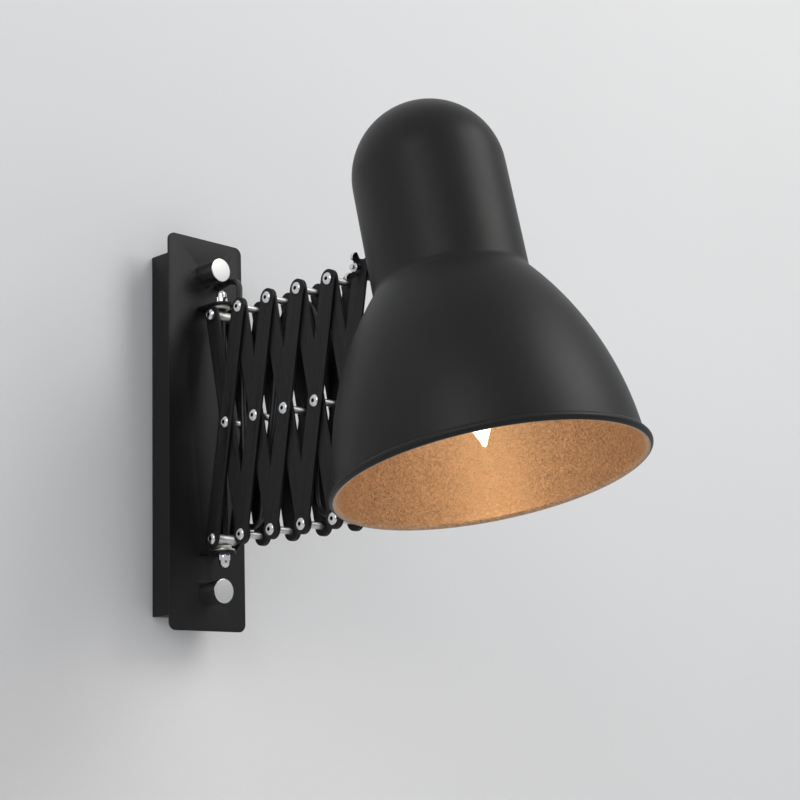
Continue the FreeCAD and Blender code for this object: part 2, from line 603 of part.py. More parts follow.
# ---------------------------------------------------------------- shade and lamp
def make_shade():
    """One spun shell: bell, soft shoulder, neck and dome, with a rolled bead round its rim."""
    t, n, d = "Sizes.shade_wall", "Sizes.neck_radius", "Sizes.dome_height"
    rim, low = "Sizes.rim_radius", "Sizes.shoulder_height"
    curve, f = "Sizes.bell_curve", "Sizes.shoulder_fillet"
    chord = f"sqrt(({rim} - {n}) ^ 2 + {low} ^ 2)"
    arm = f"sqrt({curve} ^ 2 - {chord} ^ 2 / 4) / {chord}"
    bell_x = f"(({rim} + {n}) / 2 - {low} * {arm})"
    bell_z = f"({low} / 2 - ({rim} - {n}) * {arm})"
    soft_x = f"({n} + {f})"
    soft_z = f"({bell_z} + sqrt(({curve} + {f}) ^ 2 - ({soft_x} - {bell_x}) ^ 2))"

    def shoulder(radius):
        """Where the bell's curve of this radius runs into the shoulder's rounding."""
        share = f"({radius}) / ({curve} + {f})"
        return f"{bell_x} + {share} * ({soft_x} - {bell_x})", f"{bell_z} + {share} * ({soft_z} - {bell_z})"

    shell = turned("shade_shell", [
        (f"{rim} - {t}", "0"), (*shoulder(f"{curve} - {t}"), f"{curve} - {t}", -1),
        (f"{n} - {t}", soft_z, f"{f} + {t}", 1), (f"{n} - {t}", d),
        ("0", f"{d} + {n} - {t}", f"{n} - {t}", -1), ("0", f"{d} + {n}"), (n, d, n, 1),
        (n, soft_z), (*shoulder(curve), f, -1), (rim, "0", curve, 1)])
    bead = bound("Part::Torus", "rim_bead", Radius1=f"{rim} - {t} + Sizes.bead_radius",
                 Radius2="Sizes.bead_radius")
    inlet = rod("inlet_hole", "Sizes.gland_hole / 2", "Sizes.neck_radius", Placement(Vector(), ACROSS_WALL))
    inlet.setExpression(".Placement.Base.z", "Sizes.inlet_height")
    tools = [inlet] + rivet_bores("0", "Sizes.neck_radius + Sizes.bead_radius")
    shade = cut("shade", fuse("shade_spun", [shell, bead]), fuse("shade_holes", tools))
    keep("shade", shade, in_head(0, 0, 0))


def make_rivets():
    """Two rivets through the bracket, the neck's wall and the lampholder's curved shelf, on which
    the inner head touches at its sides."""
    r, h = "Sizes.rivet_head_diameter / 2", "Sizes.rivet_head_height"
    shank = "Sizes.rivet_diameter / 2"
    hollow = "(Sizes.neck_radius - Sizes.shade_wall - Sizes.shelf_thickness)"
    grip = f"(Sizes.neck_radius + Sizes.bracket_thickness - sqrt({hollow} ^ 2 - ({r}) ^ 2))"
    rivet = turned("rivet", [("0", f"-({grip} + {h})"), (r, f"-({grip} + {h})"), (r, f"-{grip}"),
                             (shank, f"-{grip}"), (shank, "0"), (r, "0"), (f"{r} - {h} / 2", h), ("0", h)])
    seat = size("neck_radius") + size("bracket_thickness")
    places = [in_head(0, seat, size("head_rise") + side * size("rivet_spacing") / 2, ACROSS_WALL)
              for side in (1, -1)]
    group("bracket_rivets", rivet, places)


def make_holder_shelf():
    """A bent strip inside the neck: riveted to the wall, and reaching in to carry the holder."""
    wall = "(Sizes.neck_radius - Sizes.shade_wall)"
    top = "Sizes.head_rise + Sizes.rivet_spacing / 2 + Sizes.rivet_head_diameter"
    upright = bound("Part::Box", "shelf_upright", Length="Sizes.shelf_width",
                    Width="Sizes.shelf_thickness + Sizes.bead_radius",
                    Height=f"{top} - Sizes.shelf_height")
    upright.setExpression(".Placement.Base.x", "-Sizes.shelf_width / 2")
    upright.setExpression(".Placement.Base.y", f"{wall} - Sizes.shelf_thickness - Sizes.bead_radius")
    upright.setExpression(".Placement.Base.z", "Sizes.shelf_height")
    outside = rod("shelf_outer_curve", wall, "Sizes.head_rise")
    hollow = rod("shelf_inner_curve", f"{wall} - Sizes.shelf_thickness", "Sizes.head_rise")
    for thing in (outside, hollow):
        thing.setExpression(".Placement.Base.z", "Sizes.shelf_height")
    curved = doc.addObject("Part::Common", "shelf_curved")
    sleeve = cut("shelf_sleeve", outside, hollow)
    curved.Base = upright
    curved.Tool = sleeve
    strip = bound("Part::Box", "shelf_strip", Length="Sizes.shelf_width",
                  Width=f"{wall} + Sizes.shelf_width / 2", Height="Sizes.shelf_thickness")
    strip.setExpression(".Placement.Base.x", "-Sizes.shelf_width / 2")
    strip.setExpression(".Placement.Base.y", "-Sizes.shelf_width / 2")
    strip.setExpression(".Placement.Base.z", "Sizes.shelf_height")
    disc = rod("shelf_disc", wall, "Sizes.shelf_thickness")
    disc.setExpression(".Placement.Base.z", "Sizes.shelf_height")
    flat = doc.addObject("Part::Common", "shelf_flat")
    flat.Base = strip
    flat.Tool = disc
    bore = rod("shelf_bore", "Sizes.nipple_diameter / 2 + Sizes.thread_clearance", "3 * Sizes.shelf_thickness")
    bore.setExpression(".Placement.Base.z", "Sizes.shelf_height - Sizes.shelf_thickness")
    tools = [bore] + rivet_bores("0", "Sizes.neck_radius + Sizes.bead_radius")
    shelf = cut("holder_shelf", fuse("shelf_solid", [curved, flat]), fuse("shelf_holes", tools))
    keep("holder_shelf", shelf, in_head(0, 0, 0))


def make_lampholder():
    """Nipple and nut through the shelf, the holder below it, and the lamp in the holder."""
    shelf_top = size("shelf_height") + size("shelf_thickness")
    holder_base = size("shelf_height") - size("holder_height")
    nipple = ring("holder_nipple", "Sizes.nipple_diameter / 2", "Sizes.nipple_bore / 2", "Sizes.nipple_length")
    nipple_foot = shelf_top + size("nipple_nut_height") + size("nipple_stand") - size("nipple_length")
    keep("holder_nipple", nipple, in_head(0, 0, nipple_foot))
    nut = ring("nipple_nut", "Sizes.nipple_nut_diameter / 2",
               "Sizes.nipple_diameter / 2 + Sizes.thread_clearance", "Sizes.nipple_nut_height")
    keep("nipple_nut", nut, in_head(0, 0, shelf_top))
    wide, slim = "Sizes.holder_diameter / 2", "Sizes.holder_cap_diameter / 2"
    top, skirt = "Sizes.holder_height", "Sizes.holder_skirt"
    socket = "Sizes.cap_diameter / 2 + Sizes.stud_clearance"
    throat = "Sizes.cap_length + Sizes.stud_clearance"
    thread = "Sizes.nipple_diameter / 2 + Sizes.thread_clearance"
    depth = f"{size('holder_height') - (size('shelf_height') - nipple_foot) - size('thread_clearance')}"
    holder = turned("lampholder_blank", [
        (socket, "0"), (wide, "0"), (wide, skirt), (slim, f"{skirt} + Sizes.holder_cone"), (slim, top),
        (thread, top), (thread, depth), ("0", depth), ("0", throat), (socket, throat)])
    entry = rod("lampholder_entry", "Sizes.cord_diameter / 2 + Sizes.cord_clearance",
                "Sizes.holder_cap_diameter", Placement(Vector(), ACROSS_WALL))
    entry.setExpression(".Placement.Base.y", f"{slim} - Sizes.cord_diameter")
    entry.setExpression(".Placement.Base.z", "Sizes.inlet_height - Sizes.shelf_height + Sizes.holder_height")
    keep("lampholder", cut("lampholder", holder, entry), in_head(0, 0, holder_base))
    cap = turned("lamp_cap", [("0", "0"), ("Sizes.cap_diameter / 2", "0"),
                              ("Sizes.cap_diameter / 2", "Sizes.cap_length - Sizes.cap_taper"),
                              ("Sizes.cap_contact / 2", "Sizes.cap_length"), ("0", "Sizes.cap_length")])
    keep("lamp_cap", cap, in_head(0, 0, holder_base))
    neck, widest, tip = "Sizes.bulb_neck_diameter / 2", "Sizes.bulb_diameter / 2", "Sizes.bulb_tip_diameter / 2"
    glass = turned("lamp_glass", [
        ("0", "0"), (neck, "0"), (widest, "Sizes.bulb_length - Sizes.bulb_widest", "Sizes.bulb_body_curve", 1),
        (tip, "Sizes.bulb_length - Sizes.bulb_tip_length", "Sizes.bulb_tip_curve", 1),
        ("0", "Sizes.bulb_length")])
    keep("lamp_glass", glass, in_head(0, 0, holder_base, Rotation(Vector(1, 0, 0), 180)))


# ---------------------------------------------------------------- supply cord
def make_bushings():
    """The cord's bushings in the front plate and in the neck: a collar and a tapered nose."""
    bore = "Sizes.cord_diameter / 2 + Sizes.cord_clearance"
    fit, flange = "Sizes.gland_hole / 2 - Sizes.thread_clearance", "Sizes.gland_flange / 2"
    rim, nose = "Sizes.flange_thickness", "Sizes.flange_thickness + Sizes.gland_nose"
    wall = "Sizes.plate_thickness"
    gland = turned("cord_gland", [(bore, f"-{wall}"), (fit, f"-{wall}"), (fit, "0"), (flange, "0"),
                                  (flange, rim), ("Sizes.gland_tip / 2", nose), (bore, nose)])
    place = Vector(size("gland_side"), -size("plate_standoff"), size("gland_height"))
    keep("cord_gland", gland, Placement(place, OUTWARD))
    wall = "(Sizes.shade_wall + Sizes.flange_thickness)"
    seat = "Sizes.bushing_seat"
    inlet = turned("shade_bushing", [(bore, f"-{wall}"), (fit, f"-{wall}"), (fit, seat), (flange, seat),
                                     (flange, f"{seat} + {rim}"), (bore, f"{seat} + {rim}")])
    keep("shade_bushing", inlet, in_head(0, size("neck_radius"), size("inlet_height"), ACROSS_WALL))


def inlet_point(y):
    """A point on the shade inlet's axis, y from the shade's axis."""
    return in_head(0, y, size("inlet_height")).Base


def cord_route():
    """The cord's corners, from the terminal block through the lattice to the lampholder."""
    g, z, face = size("gland_side"), size("gland_height"), size("plate_standoff")
    block_top = size("terminal_rise") + size("terminal_height")
    depth = -size("strap_thickness") - size("terminal_depth") / 2
    start = [Vector(3, depth, block_top), Vector(3, depth, block_top + 16), Vector(9, -13, 90),
             Vector(g - 0.5, -15.5, z - 8), Vector(g, -24, z), Vector(g, -face - 14, z)]
    loops = [
        (11, -59, 112), (5, -66, 99), (0.5, -70, 80), (0, -72.3, 50), (-0.3, -74.4, 17), (0, -74.8, -18),
        (0, -72.6, -46), (0, -72.6, -61), (0, -72.6, -72.4), (0, -78.8, -78.6), (0, -87.6, -78.6),
        (0, -93.8, -72.4), (0, -94.8, -57), (0, -97.5, -34), (0, -105.6, -4), (0, -110, 26),
        (0, -112.6, 52), (0, -117.5, 69), (0, -127, 78.3), (0, -139, 79.4), (0, -149, 74), (0, -155, 60),
        (0, -156, 34), (0, -153.6, 2), (0, -150.4, -28), (0, -150.6, -52), (0, -150.7, -70.8),
        (0, -158.5, -78.6), (0, -169.5, -78.6), (0, -177.3, -70.8), (0, -177.4, -54), (0, -176.4, -28),
        (0, -177, 0), (0, -181, 26), (0, -190, 44)]
    end = [inlet_point(size("neck_radius") + 12), inlet_point(size("holder_cap_diameter") / 2 + 18),
           inlet_point(size("holder_cap_diameter") / 2 - size("cord_diameter") + size("cord_clearance"))]
    return start + [Vector(*point) for point in loops] + end


CORD_FILL = 0.45       # the share of a corner's shorter run that its arc takes


def make_cord():
    """One tube along straight runs joined by tangent arcs, as large as their runs allow."""
    points = cord_route()
    edges, radii, last = [], [], points[0]
    for before, corner, after in zip(points, points[1:], points[2:]):
        to_back, to_front = (before - corner), (after - corner)
        shorter = min(to_back.Length, to_front.Length)
        half_turn = (math.pi - to_back.getAngle(to_front)) / 2
        if half_turn < math.radians(0.2):
            continue
        trim = CORD_FILL * shorter
        radii.append(trim / math.tan(half_turn))
        enter = corner + to_back.normalize() * trim
        leave = corner + to_front.normalize() * trim
        bisector = (enter + leave) / 2 - corner
        reach = math.hypot(radii[-1], trim)
        middle = corner + bisector.normalize() * (reach - radii[-1])
        edges.append(Part.LineSegment(last, enter).toShape())
        edges.append(Part.Arc(enter, middle, leave).toShape())
        last = leave
    edges.append(Part.LineSegment(last, points[-1]).toShape())
    path = Part.Wire(edges)
    radius = size("cord_diameter") / 2
    section = Part.Wire(Part.Circle(points[0], points[1] - points[0], radius).toShape())
    tube = path.makePipeShell([section], True, True)
    holder = doc.addObject("Part::Feature", "cord")
    holder.Shape = Part.Solid(tube) if tube.ShapeType == "Shell" else tube
    keep("cord", holder)
    print(f"cord length {path.Length:.1f}, tightest radius {min(radii):.1f},",
          f"volume over section times length {holder.Shape.Volume / (math.pi * radius ** 2 * path.Length):.4f}")
    print("cord radii", " ".join(f"{r:.0f}" for r in radii))


# ---------------------------------------------------------------- the whole lamp
make_wall_box()
make_front_plate()
make_mounting_strap()
make_studs_and_thumb_nuts()
make_terminal_block()
make_tabs()
make_guide_rod()
make_cap_nuts()
make_rod_washers()
make_links()
make_pivot_hardware()
make_collars()
make_pivot_bolt()
make_wing_nut()
make_shade_bracket()
make_shade()
make_rivets()
make_holder_shelf()
make_lampholder()
make_bushings()
make_cord()
doc.recompute()

failed = [thing.Name for thing in doc.Objects if "Invalid" in thing.State or "Error" in thing.State]
if failed:
    raise RuntimeError(f"failed: {failed}")
for node, thing in nodes.items():
    if thing.Shape.isNull() or not thing.Shape.isValid() or not thing.Shape.Solids:
        raise RuntimeError(f"{node} has no valid shape")

os.makedirs("parts", exist_ok=True)
for node, thing in nodes.items():
    thing.Shape.exportStep(f"parts/{node}.step")
print(f"{len(nodes)} nodes written")
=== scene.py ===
"""The looks of an accordion wall lamp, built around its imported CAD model.

Laid out as an add-on: settings in property groups, one operator for each piece or group of like
pieces, one for the stage, and a panel that lists them. Lengths in the code are millimetres and are
turned into metres where a mesh is made. The wall is the plane Y = 0 and the lamp stands out
along -Y.
"""

import json
import math

import bmesh
import bpy
from mathutils import Matrix, Vector

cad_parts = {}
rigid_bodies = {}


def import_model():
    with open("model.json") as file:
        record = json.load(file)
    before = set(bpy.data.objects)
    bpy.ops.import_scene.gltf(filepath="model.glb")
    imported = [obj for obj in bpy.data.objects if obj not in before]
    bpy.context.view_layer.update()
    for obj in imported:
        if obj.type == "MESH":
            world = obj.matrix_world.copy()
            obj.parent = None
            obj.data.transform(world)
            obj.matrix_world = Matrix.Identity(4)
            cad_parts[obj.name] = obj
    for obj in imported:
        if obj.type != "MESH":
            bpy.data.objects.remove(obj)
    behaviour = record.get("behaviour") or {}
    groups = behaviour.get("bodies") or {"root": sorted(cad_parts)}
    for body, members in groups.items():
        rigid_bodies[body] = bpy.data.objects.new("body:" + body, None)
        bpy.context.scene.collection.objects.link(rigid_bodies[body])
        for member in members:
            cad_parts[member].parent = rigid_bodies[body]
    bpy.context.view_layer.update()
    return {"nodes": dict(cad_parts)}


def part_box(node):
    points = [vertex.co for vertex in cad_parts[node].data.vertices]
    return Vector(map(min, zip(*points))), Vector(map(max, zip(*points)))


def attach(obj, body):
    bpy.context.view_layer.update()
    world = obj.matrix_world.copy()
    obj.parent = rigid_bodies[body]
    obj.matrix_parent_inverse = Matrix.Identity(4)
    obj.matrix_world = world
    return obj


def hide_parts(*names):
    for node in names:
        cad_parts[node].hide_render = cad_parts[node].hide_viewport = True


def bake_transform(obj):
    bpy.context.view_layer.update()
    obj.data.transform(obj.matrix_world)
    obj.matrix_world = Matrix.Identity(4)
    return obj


bl_info = {
    "name": "Accordion wall lamp",
    "version": (1, 0, 0),
    "blender": (4, 5, 0),
    "location": "3D View > Sidebar > Lamp",
    "description": "Dresses the packed model of an accordion wall lamp",
    "category": "Object",
}

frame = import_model()
MM = 0.001
RIGHT, UP = Vector((1, 0, 0)), Vector((0, 0, 1))

# ---------------------------------------------------------------- the lattice and the head, in mm
LINK_PITCH = 172.2                  # between a whole link's end pivots
FOLD = math.radians(10.7)           # how far a link leans at rest
ROD_STANDOFF = 51.0                 # guide rod's axis to the wall
COLUMN = LINK_PITCH * math.sin(FOLD)
HALF_HEIGHT = LINK_PITCH * math.cos(FOLD) / 2
CELLS = 5
INNER_LAYER = 8.1                   # falling links' inner face, from the middle plane
OUTER_LAYER = 10.05                 # rising links' inner face
LINK_THICKNESS = 1.8
OUTER_FACE = OUTER_LAYER + LINK_THICKNESS
HEAD_TILT = math.radians(11.65)
HEAD_REACH, HEAD_RISE = 66.6, 173.2  # the head pivot in the shade's own frame
PLATE_FACE = 32.5


def lattice_point(column, level):
    """A pivot of the lattice: level is +1 for the top row, 0 the middle and -1 the bottom."""
    return Vector((0, -ROD_STANDOFF - column * COLUMN, level * HALF_HEIGHT))


HEAD_TURN = Matrix.Rotation(-HEAD_TILT, 4, "X")
SHADE_RIM = lattice_point(CELLS, 1) - HEAD_TURN @ Vector((0, HEAD_REACH, HEAD_RISE))
IN_HEAD = Matrix.Translation(SHADE_RIM) @ HEAD_TURN
OUTWARD = Matrix.Rotation(math.pi / 2, 4, "X")          # a piece's +Z points out of the wall
ACROSS = Matrix.Rotation(-math.pi / 2, 4, "X")          # a piece's +Z points along +Y
TO_FAR = Matrix.Rotation(math.pi / 2, 4, "Y")


def at(point, turn=Matrix.Identity(4)):
    return Matrix.Translation(Vector(point)) @ turn


# ---------------------------------------------------------------- settings
def colour_setting(name, description, default):
    return bpy.props.FloatVectorProperty(
        name=name, description=description, default=default, size=3, subtype="COLOR", min=0, max=1)


def length_setting(name, description, default):
    return bpy.props.FloatProperty(
        name=name, description=description, default=default * MM, unit="LENGTH", precision=5)


class LampFinish(bpy.types.PropertyGroup):
    """Colours of the lamp's finishes."""
    paint: colour_setting("Paint", "Black powder coat of plate, box and links", (0.0080, 0.0076, 0.0072))
    shade: colour_setting("Shade", "Black paint outside the shade", (0.0080, 0.0076, 0.0072))
    lining: colour_setting("Lining", "Bright grains of the shade's copper lacquer", (0.62, 0.40, 0.245))
    chrome: colour_setting("Chrome", "Polished nuts and screws", (0.74, 0.74, 0.75))
    nickel: colour_setting("Nickel", "Satin spacers and collars", (0.62, 0.62, 0.605))
    zinc: colour_setting("Zinc", "Plated strap, studs and shelf", (0.55, 0.56, 0.56))
    nylon: colour_setting("Nylon", "Washer and bush on the rod", (0.72, 0.70, 0.60))
    rubber: colour_setting("Cord", "Jacket of the supply cord", (0.012, 0.012, 0.012))
    glow: colour_setting("Glow", "Light of the lamp", (1.0, 0.74, 0.42))


class LampSizes(bpy.types.PropertyGroup):
    """Sizes that only the looks use."""
    edge: length_setting("Edge", "Rounding of sheet edges under the paint", 0.32)
    link_width: length_setting("Link width", "Width of a flat link", 14.2)
    pivot_hole: length_setting("Pivot hole", "Radius of a link's pivot hole", 1.96)
    head_radius: length_setting("Screw head", "Radius of a pivot screw's head", 4.5)
    head_height: length_setting("Head height", "Height of a pivot screw's head", 1.8)
    socket: length_setting("Socket", "Width across flats of a screw's socket", 2.5)


class LampStage(bpy.types.PropertyGroup):
    """Wall, floor and light."""
    wall: colour_setting("Wall", "Colour of the wall", (0.80, 0.80, 0.795))
    floor: colour_setting("Floor", "Colour of the floor", (0.70, 0.70, 0.70))
    drop: bpy.props.FloatProperty(name="Drop", description="Floor below the lamp's centre", default=0.75,
                                  unit="LENGTH")
    key: bpy.props.FloatProperty(name="Key", description="Main light's power, in watts", default=26.0)
    fill: bpy.props.FloatProperty(name="Fill", description="Strength of the room's light", default=0.55)


def finish():
    return bpy.context.scene.lamp_finish


def sizes():
    return bpy.context.scene.lamp_sizes


# ---------------------------------------------------------------- nodes
def feed(tree, amount, socket):
    """Joins one or several outputs to a socket, or sets it to a plain value."""
    for item in amount if isinstance(amount, list) else [amount]:
        source = item.socket if isinstance(item, Value) else item
        if isinstance(source, bpy.types.NodeSocket):
            tree.links.new(source, socket)
        else:
            socket.default_value = source


def add_node(tree, kind, settings, sockets):
    """A new node with its settings and sockets, each a dictionary or None."""
    node = tree.nodes.new(kind)
    for name, amount in (settings or {}).items():
        setattr(node, name, amount)
    for name, amount in (sockets or {}).items():
        feed(tree, amount, node.inputs[name])
    return node


class Value:
    """A socket of a shader tree that can be used in Python expressions."""

    def __init__(self, shader, socket):
        self.shader, self.socket = shader, socket

    def maths(self, operation, first, second):
        return self.shader.node("ShaderNodeMath", {"operation": operation}, {0: first, 1: second})

    def __add__(self, other):
        return self.maths("ADD", self, other)

    def __sub__(self, other):
        return self.maths("SUBTRACT", self, other)

    def __rsub__(self, other):
        return self.maths("SUBTRACT", other, self)

    def __mul__(self, other):
        return self.maths("MULTIPLY", self, other)

    __radd__, __rmul__ = __add__, __mul__


class Shader:
    """A material's nodes: one method adds any node, and a few add the common ones."""

    def __init__(self, name, **plain):
        self.material = bpy.data.materials.new(name)
        self.material.use_nodes = True
        self.tree = self.material.node_tree
        self.surface = self.tree.nodes["Principled BSDF"]
        for socket, amount in plain.items():
            self.surface.inputs[socket.replace("_", " ")].default_value = amount

    def node(self, kind, settings=None, sockets=None, output=0):
        return Value(self, add_node(self.tree, kind, settings, sockets).outputs[output])

    def set(self, **links):
        for socket, amount in links.items():
            feed(self.tree, amount, self.surface.inputs[socket.replace("_", " ")])

    def place(self, scale=(1, 1, 1)):
        """Object coordinates, stretched by scale."""
        object_place = self.node("ShaderNodeTexCoord", output="Object")
        return self.node("ShaderNodeMapping", None, {"Vector": object_place, "Scale": scale})

    def noise(self, scale, detail=2.0, stretch=(1, 1, 1)):
        return self.node("ShaderNodeTexNoise", None,
                         {"Vector": self.place(stretch), "Scale": scale, "Detail": detail}, "Fac")

    def blend(self, share, first, second):
        """A mix of two colours."""
        first, second = (c if isinstance(c, Value) else (*c, 1) for c in (first, second))
        return self.node("ShaderNodeMix", {"data_type": "RGBA"}, {0: share, 6: first, 7: second}, 2)

    def tones(self, share, colour, dark, light):
        """A colour that goes from dark to light times itself."""
        return self.blend(share, shaded(colour, dark), shaded(colour, light))

    def bump(self, height, depth, strength=1.0):
        """Raises the surface by height times depth, in mm."""
        self.set(Normal=self.node("ShaderNodeBump", None, {
            "Height": height, "Distance": depth * MM, "Strength": strength}, "Normal"))


def shaded(colour, share):
    return tuple(min(channel * share, 1.0) for channel in colour)


MADE = {}


def material(make):
    """The material that a function makes, made once."""
    if make.__name__ not in MADE:
        MADE[make.__name__] = make()
    return MADE[make.__name__]


def coated(name, colour, roughness, peel):
    """Powder coat: a slight orange peel, and clouds that the eye takes for an even satin."""
    s = Shader(name, Specular_IOR_Level=0.26)
    clouds, grain = s.noise(28.0, 3.0), s.noise(1400.0, 2.0)
    s.set(Base_Color=s.tones(clouds, colour, 0.82, 1.2),
          Roughness=roughness + (clouds - 0.5) * 0.10 + (grain - 0.5) * 0.10)
    s.bump(grain, peel)
    return s.material


def powder_coat():
    return coated("powder_coat", finish().paint, 0.47, 0.035)


def shade_paint():
    return coated("shade_paint", finish().shade, 0.44, 0.03)


def copper_lining():
    """Lacquer with metal flakes: each grain has its own brightness and tilt."""
    s = Shader("copper_lining", Specular_IOR_Level=0.6, Metallic=0.55)
    cells = s.node("ShaderNodeTexVoronoi", None, {"Vector": s.place(), "Scale": 1050.0}, "Color")
    flake = s.node("ShaderNodeSeparateColor", None, {0: cells}, "Red")
    tone = flake * 0.55 + s.noise(420.0, 2.0) * 0.45
    s.set(Base_Color=s.tones(tone, finish().lining, 0.28, 1.12), Roughness=0.34 + flake * 0.28)
    s.bump(flake, 0.10, 0.8)
    return s.material


def polished(name, colour, roughness, marks):
    """Bright metal whose polish varies a little, with faint handling marks. Where an attribute marks a
    screw's socket, the colour is darkened almost to black: painted shade, standing in for the shade
    inside the socket."""
    s = Shader(name, Metallic=1.0)
    soft, fine = s.noise(160.0, 2.0), s.noise(1800.0, 1.0, (1, 1, 0.06))
    # painted shade: the marked socket's colour goes almost black and its roughness goes up, standing in
    # for the shade inside it
    painted_socket_shade = s.node("ShaderNodeAttribute", {"attribute_name": "painted_socket_shade"}, output="Fac")
    s.set(Base_Color=s.blend(painted_socket_shade, s.tones(soft, colour, 0.94, 1.05), shaded(colour, 0.03)),
          Roughness=roughness + soft * 0.05 + fine * marks + painted_socket_shade * 0.3)
    return s.material


def chrome():
    return polished("chrome", finish().chrome, 0.07, 0.05)


def nickel():
    """Turned satin nickel: fine lines round each tube, which lies along X."""
    s = Shader("nickel", Metallic=1.0)
    lines = s.noise(2600.0, 1.0, (1, 0.04, 0.04))
    s.set(Base_Color=s.tones(lines, finish().nickel, 0.9, 1.06), Roughness=0.36 + lines * 0.14)
    s.bump(lines, 0.01)
    return s.material


def zinc():
    """Plated steel with the plating's faint mottle."""
    s = Shader("zinc", Metallic=1.0)
    mottle = s.node("ShaderNodeTexVoronoi", None, {"Vector": s.place(), "Scale": 300.0}, "Distance")
    s.set(Base_Color=s.tones(mottle, finish().zinc, 0.86, 1.05), Roughness=0.30 + mottle * 0.16)
    return s.material


def nylon():
    s = Shader("nylon", Subsurface_Weight=0.15, Subsurface_Radius=(0.002, 0.002, 0.0015))
    clouds = s.noise(500.0)
    s.set(Base_Color=s.tones(clouds, finish().nylon, 0.9, 1.06), Roughness=0.42 + clouds * 0.1)
    s.bump(clouds, 0.02)
    return s.material


def moulded(name, colour, roughness):
    """Moulded plastic with a fine spark-eroded grain."""
    s = Shader(name)
    grain, clouds = s.noise(2200.0, 2.0), s.noise(90.0, 2.0)
    s.set(Base_Color=s.tones(clouds, colour, 0.85, 1.15), Roughness=roughness + grain * 0.12)
    s.bump(grain, 0.03)
    return s.material


def black_plastic():
    return moulded("black_plastic", (0.016, 0.016, 0.016), 0.40)


def holder_plastic():
    return moulded("holder_plastic", (0.02, 0.019, 0.018), 0.28)


def terminal_plastic():
    return moulded("terminal_plastic", (0.70, 0.68, 0.60), 0.38)


def cord_jacket():
    """Smooth extruded jacket with a fine skin."""
    s = Shader("cord_jacket")
    skin = s.noise(900.0, 2.0)
    s.set(Base_Color=s.tones(skin, finish().rubber, 0.8, 1.3), Roughness=0.36 + skin * 0.12)
    s.bump(skin, 0.015)
    return s.material


def lamp_cap_metal():
    return polished("lamp_cap_metal", (0.78, 0.70, 0.55), 0.18, 0.08)


def glowing_glass():
    """The lit lamp's clear glass: white where it is looked straight into, amber at its edge."""
    s = Shader("glowing_glass", Transmission_Weight=0.6, Roughness=0.04, IOR=1.45, Emission_Strength=1.6)
    facing = s.node("ShaderNodeLayerWeight", None, {"Blend": 0.45}, "Facing")
    glow = finish().glow
    s.set(Base_Color=s.blend(facing, (1.0, 0.97, 0.9), (1.0, 0.80, 0.52)),
          Emission_Color=s.blend(facing, (1.0, 0.93, 0.80), shaded(glow, 0.38)))
    return s.material


def hot_filament():
    s = Shader("hot_filament", Emission_Strength=14.0)
    s.set(Emission_Color=s.blend(s.noise(600.0), finish().glow, (1.0, 0.86, 0.62)))
    return s.material


# ---------------------------------------------------------------- meshes
ON_AXIS = 1e-4                      # a profile's point with a smaller radius is one vertex
WELD = 2e-6                         # corners of a CAD mesh that are closer, in metres, are one
FLAT = math.radians(0.6)            # faces of a CAD mesh that meet at less lie in one plane


def shown(thing):
    """Links an object to the scene, once."""
    things = bpy.context.scene.collection.objects
    if thing.name not in things:
        things.link(thing)
    return thing


def solid(name, bm):
    """An object of a finished bmesh, which is freed."""
    mesh = bpy.data.meshes.new(name)
    bm.to_mesh(mesh)
    bm.free()
    return bpy.data.objects.new(name, mesh)


def tube(name, rings):
    """A closed tube through rings of points, in metres."""
    bm = bmesh.new()
    rings = [[bm.verts.new(point) for point in ring] for ring in rings]
    for ring, following in zip(rings, rings[1:]):
        for k, corner in enumerate(ring):
            step = (k + 1) % len(ring)
            bm.faces.new((corner, ring[step], following[step], following[k]))
    bm.faces.new(rings[0][::-1])
    bm.faces.new(rings[-1])
    bmesh.ops.recalc_face_normals(bm, faces=bm.faces)
    return solid(name, bm)


def arc(centre, radius, first, last, steps):
    """Points of an arc in a profile's plane: angles in degrees, steps + 1 points."""
    points = []
    for i in range(steps + 1):
        angle = math.radians(first + (last - first) * i / steps)
        points.append((centre[0] + radius * math.cos(angle), centre[1] + radius * math.sin(angle)))
    return points


def softened(points, radius, steps=3):
    """A profile whose corners are rounded, as far as their sides allow."""
    soft = []
    for i, point in enumerate(points):
        here = Vector(point[:2])
        back, front = Vector(points[i - 1][:2]) - here, Vector(points[(i + 1) % len(points)][:2]) - here
        if here.x < 0.001 or back.length < 0.01 or front.length < 0.01:
            soft.append(point)
            continue
        trim = min(radius, 0.45 * back.length, 0.45 * front.length)
        first, last = here + back.normalized() * trim, here + front.normalized() * trim
        for k in range(steps + 1):
            t = k / steps
            curve = first * (1 - t) ** 2 + here * 2 * t * (1 - t) + last * t ** 2
            soft.append((curve.x, curve.y, *point[2:]))
    return soft


def turn(name, profile, segments):
    """A closed mesh turned about Z from a closed profile of (radius, height[, flats]). Where a
    point has flats, its ring is cut to a hexagon of that width across flats."""
    bm = bmesh.new()
    rings = []
    for point in profile:
        radius, height = point[0], point[1]
        if radius < ON_AXIS:
            rings.append([bm.verts.new((0, 0, height * MM))])
            continue
        ring = []
        for k in range(segments):
            angle = 2 * math.pi * k / segments
            reach = radius
            if len(point) > 2:
                from_flat = (angle % (math.pi / 3)) - math.pi / 6
                reach = min(radius, point[2] / 2 / math.cos(from_flat))
            place = (reach * math.cos(angle) * MM, reach * math.sin(angle) * MM, height * MM)
            ring.append(bm.verts.new(place))
        rings.append(ring)
    for i, ring in enumerate(rings):
        following = rings[(i + 1) % len(rings)]
        count = max(len(ring), len(following))
        if count == 1:
            continue
        for k in range(count):
            corners = [ring[k % len(ring)], following[k % len(following)],
                       following[(k + 1) % len(following)], ring[(k + 1) % len(ring)]]
            unique = list(dict.fromkeys(corners))
            if len(unique) > 2:
                bm.faces.new(unique)
    bmesh.ops.recalc_face_normals(bm, faces=bm.faces)
    return solid(name, bm)


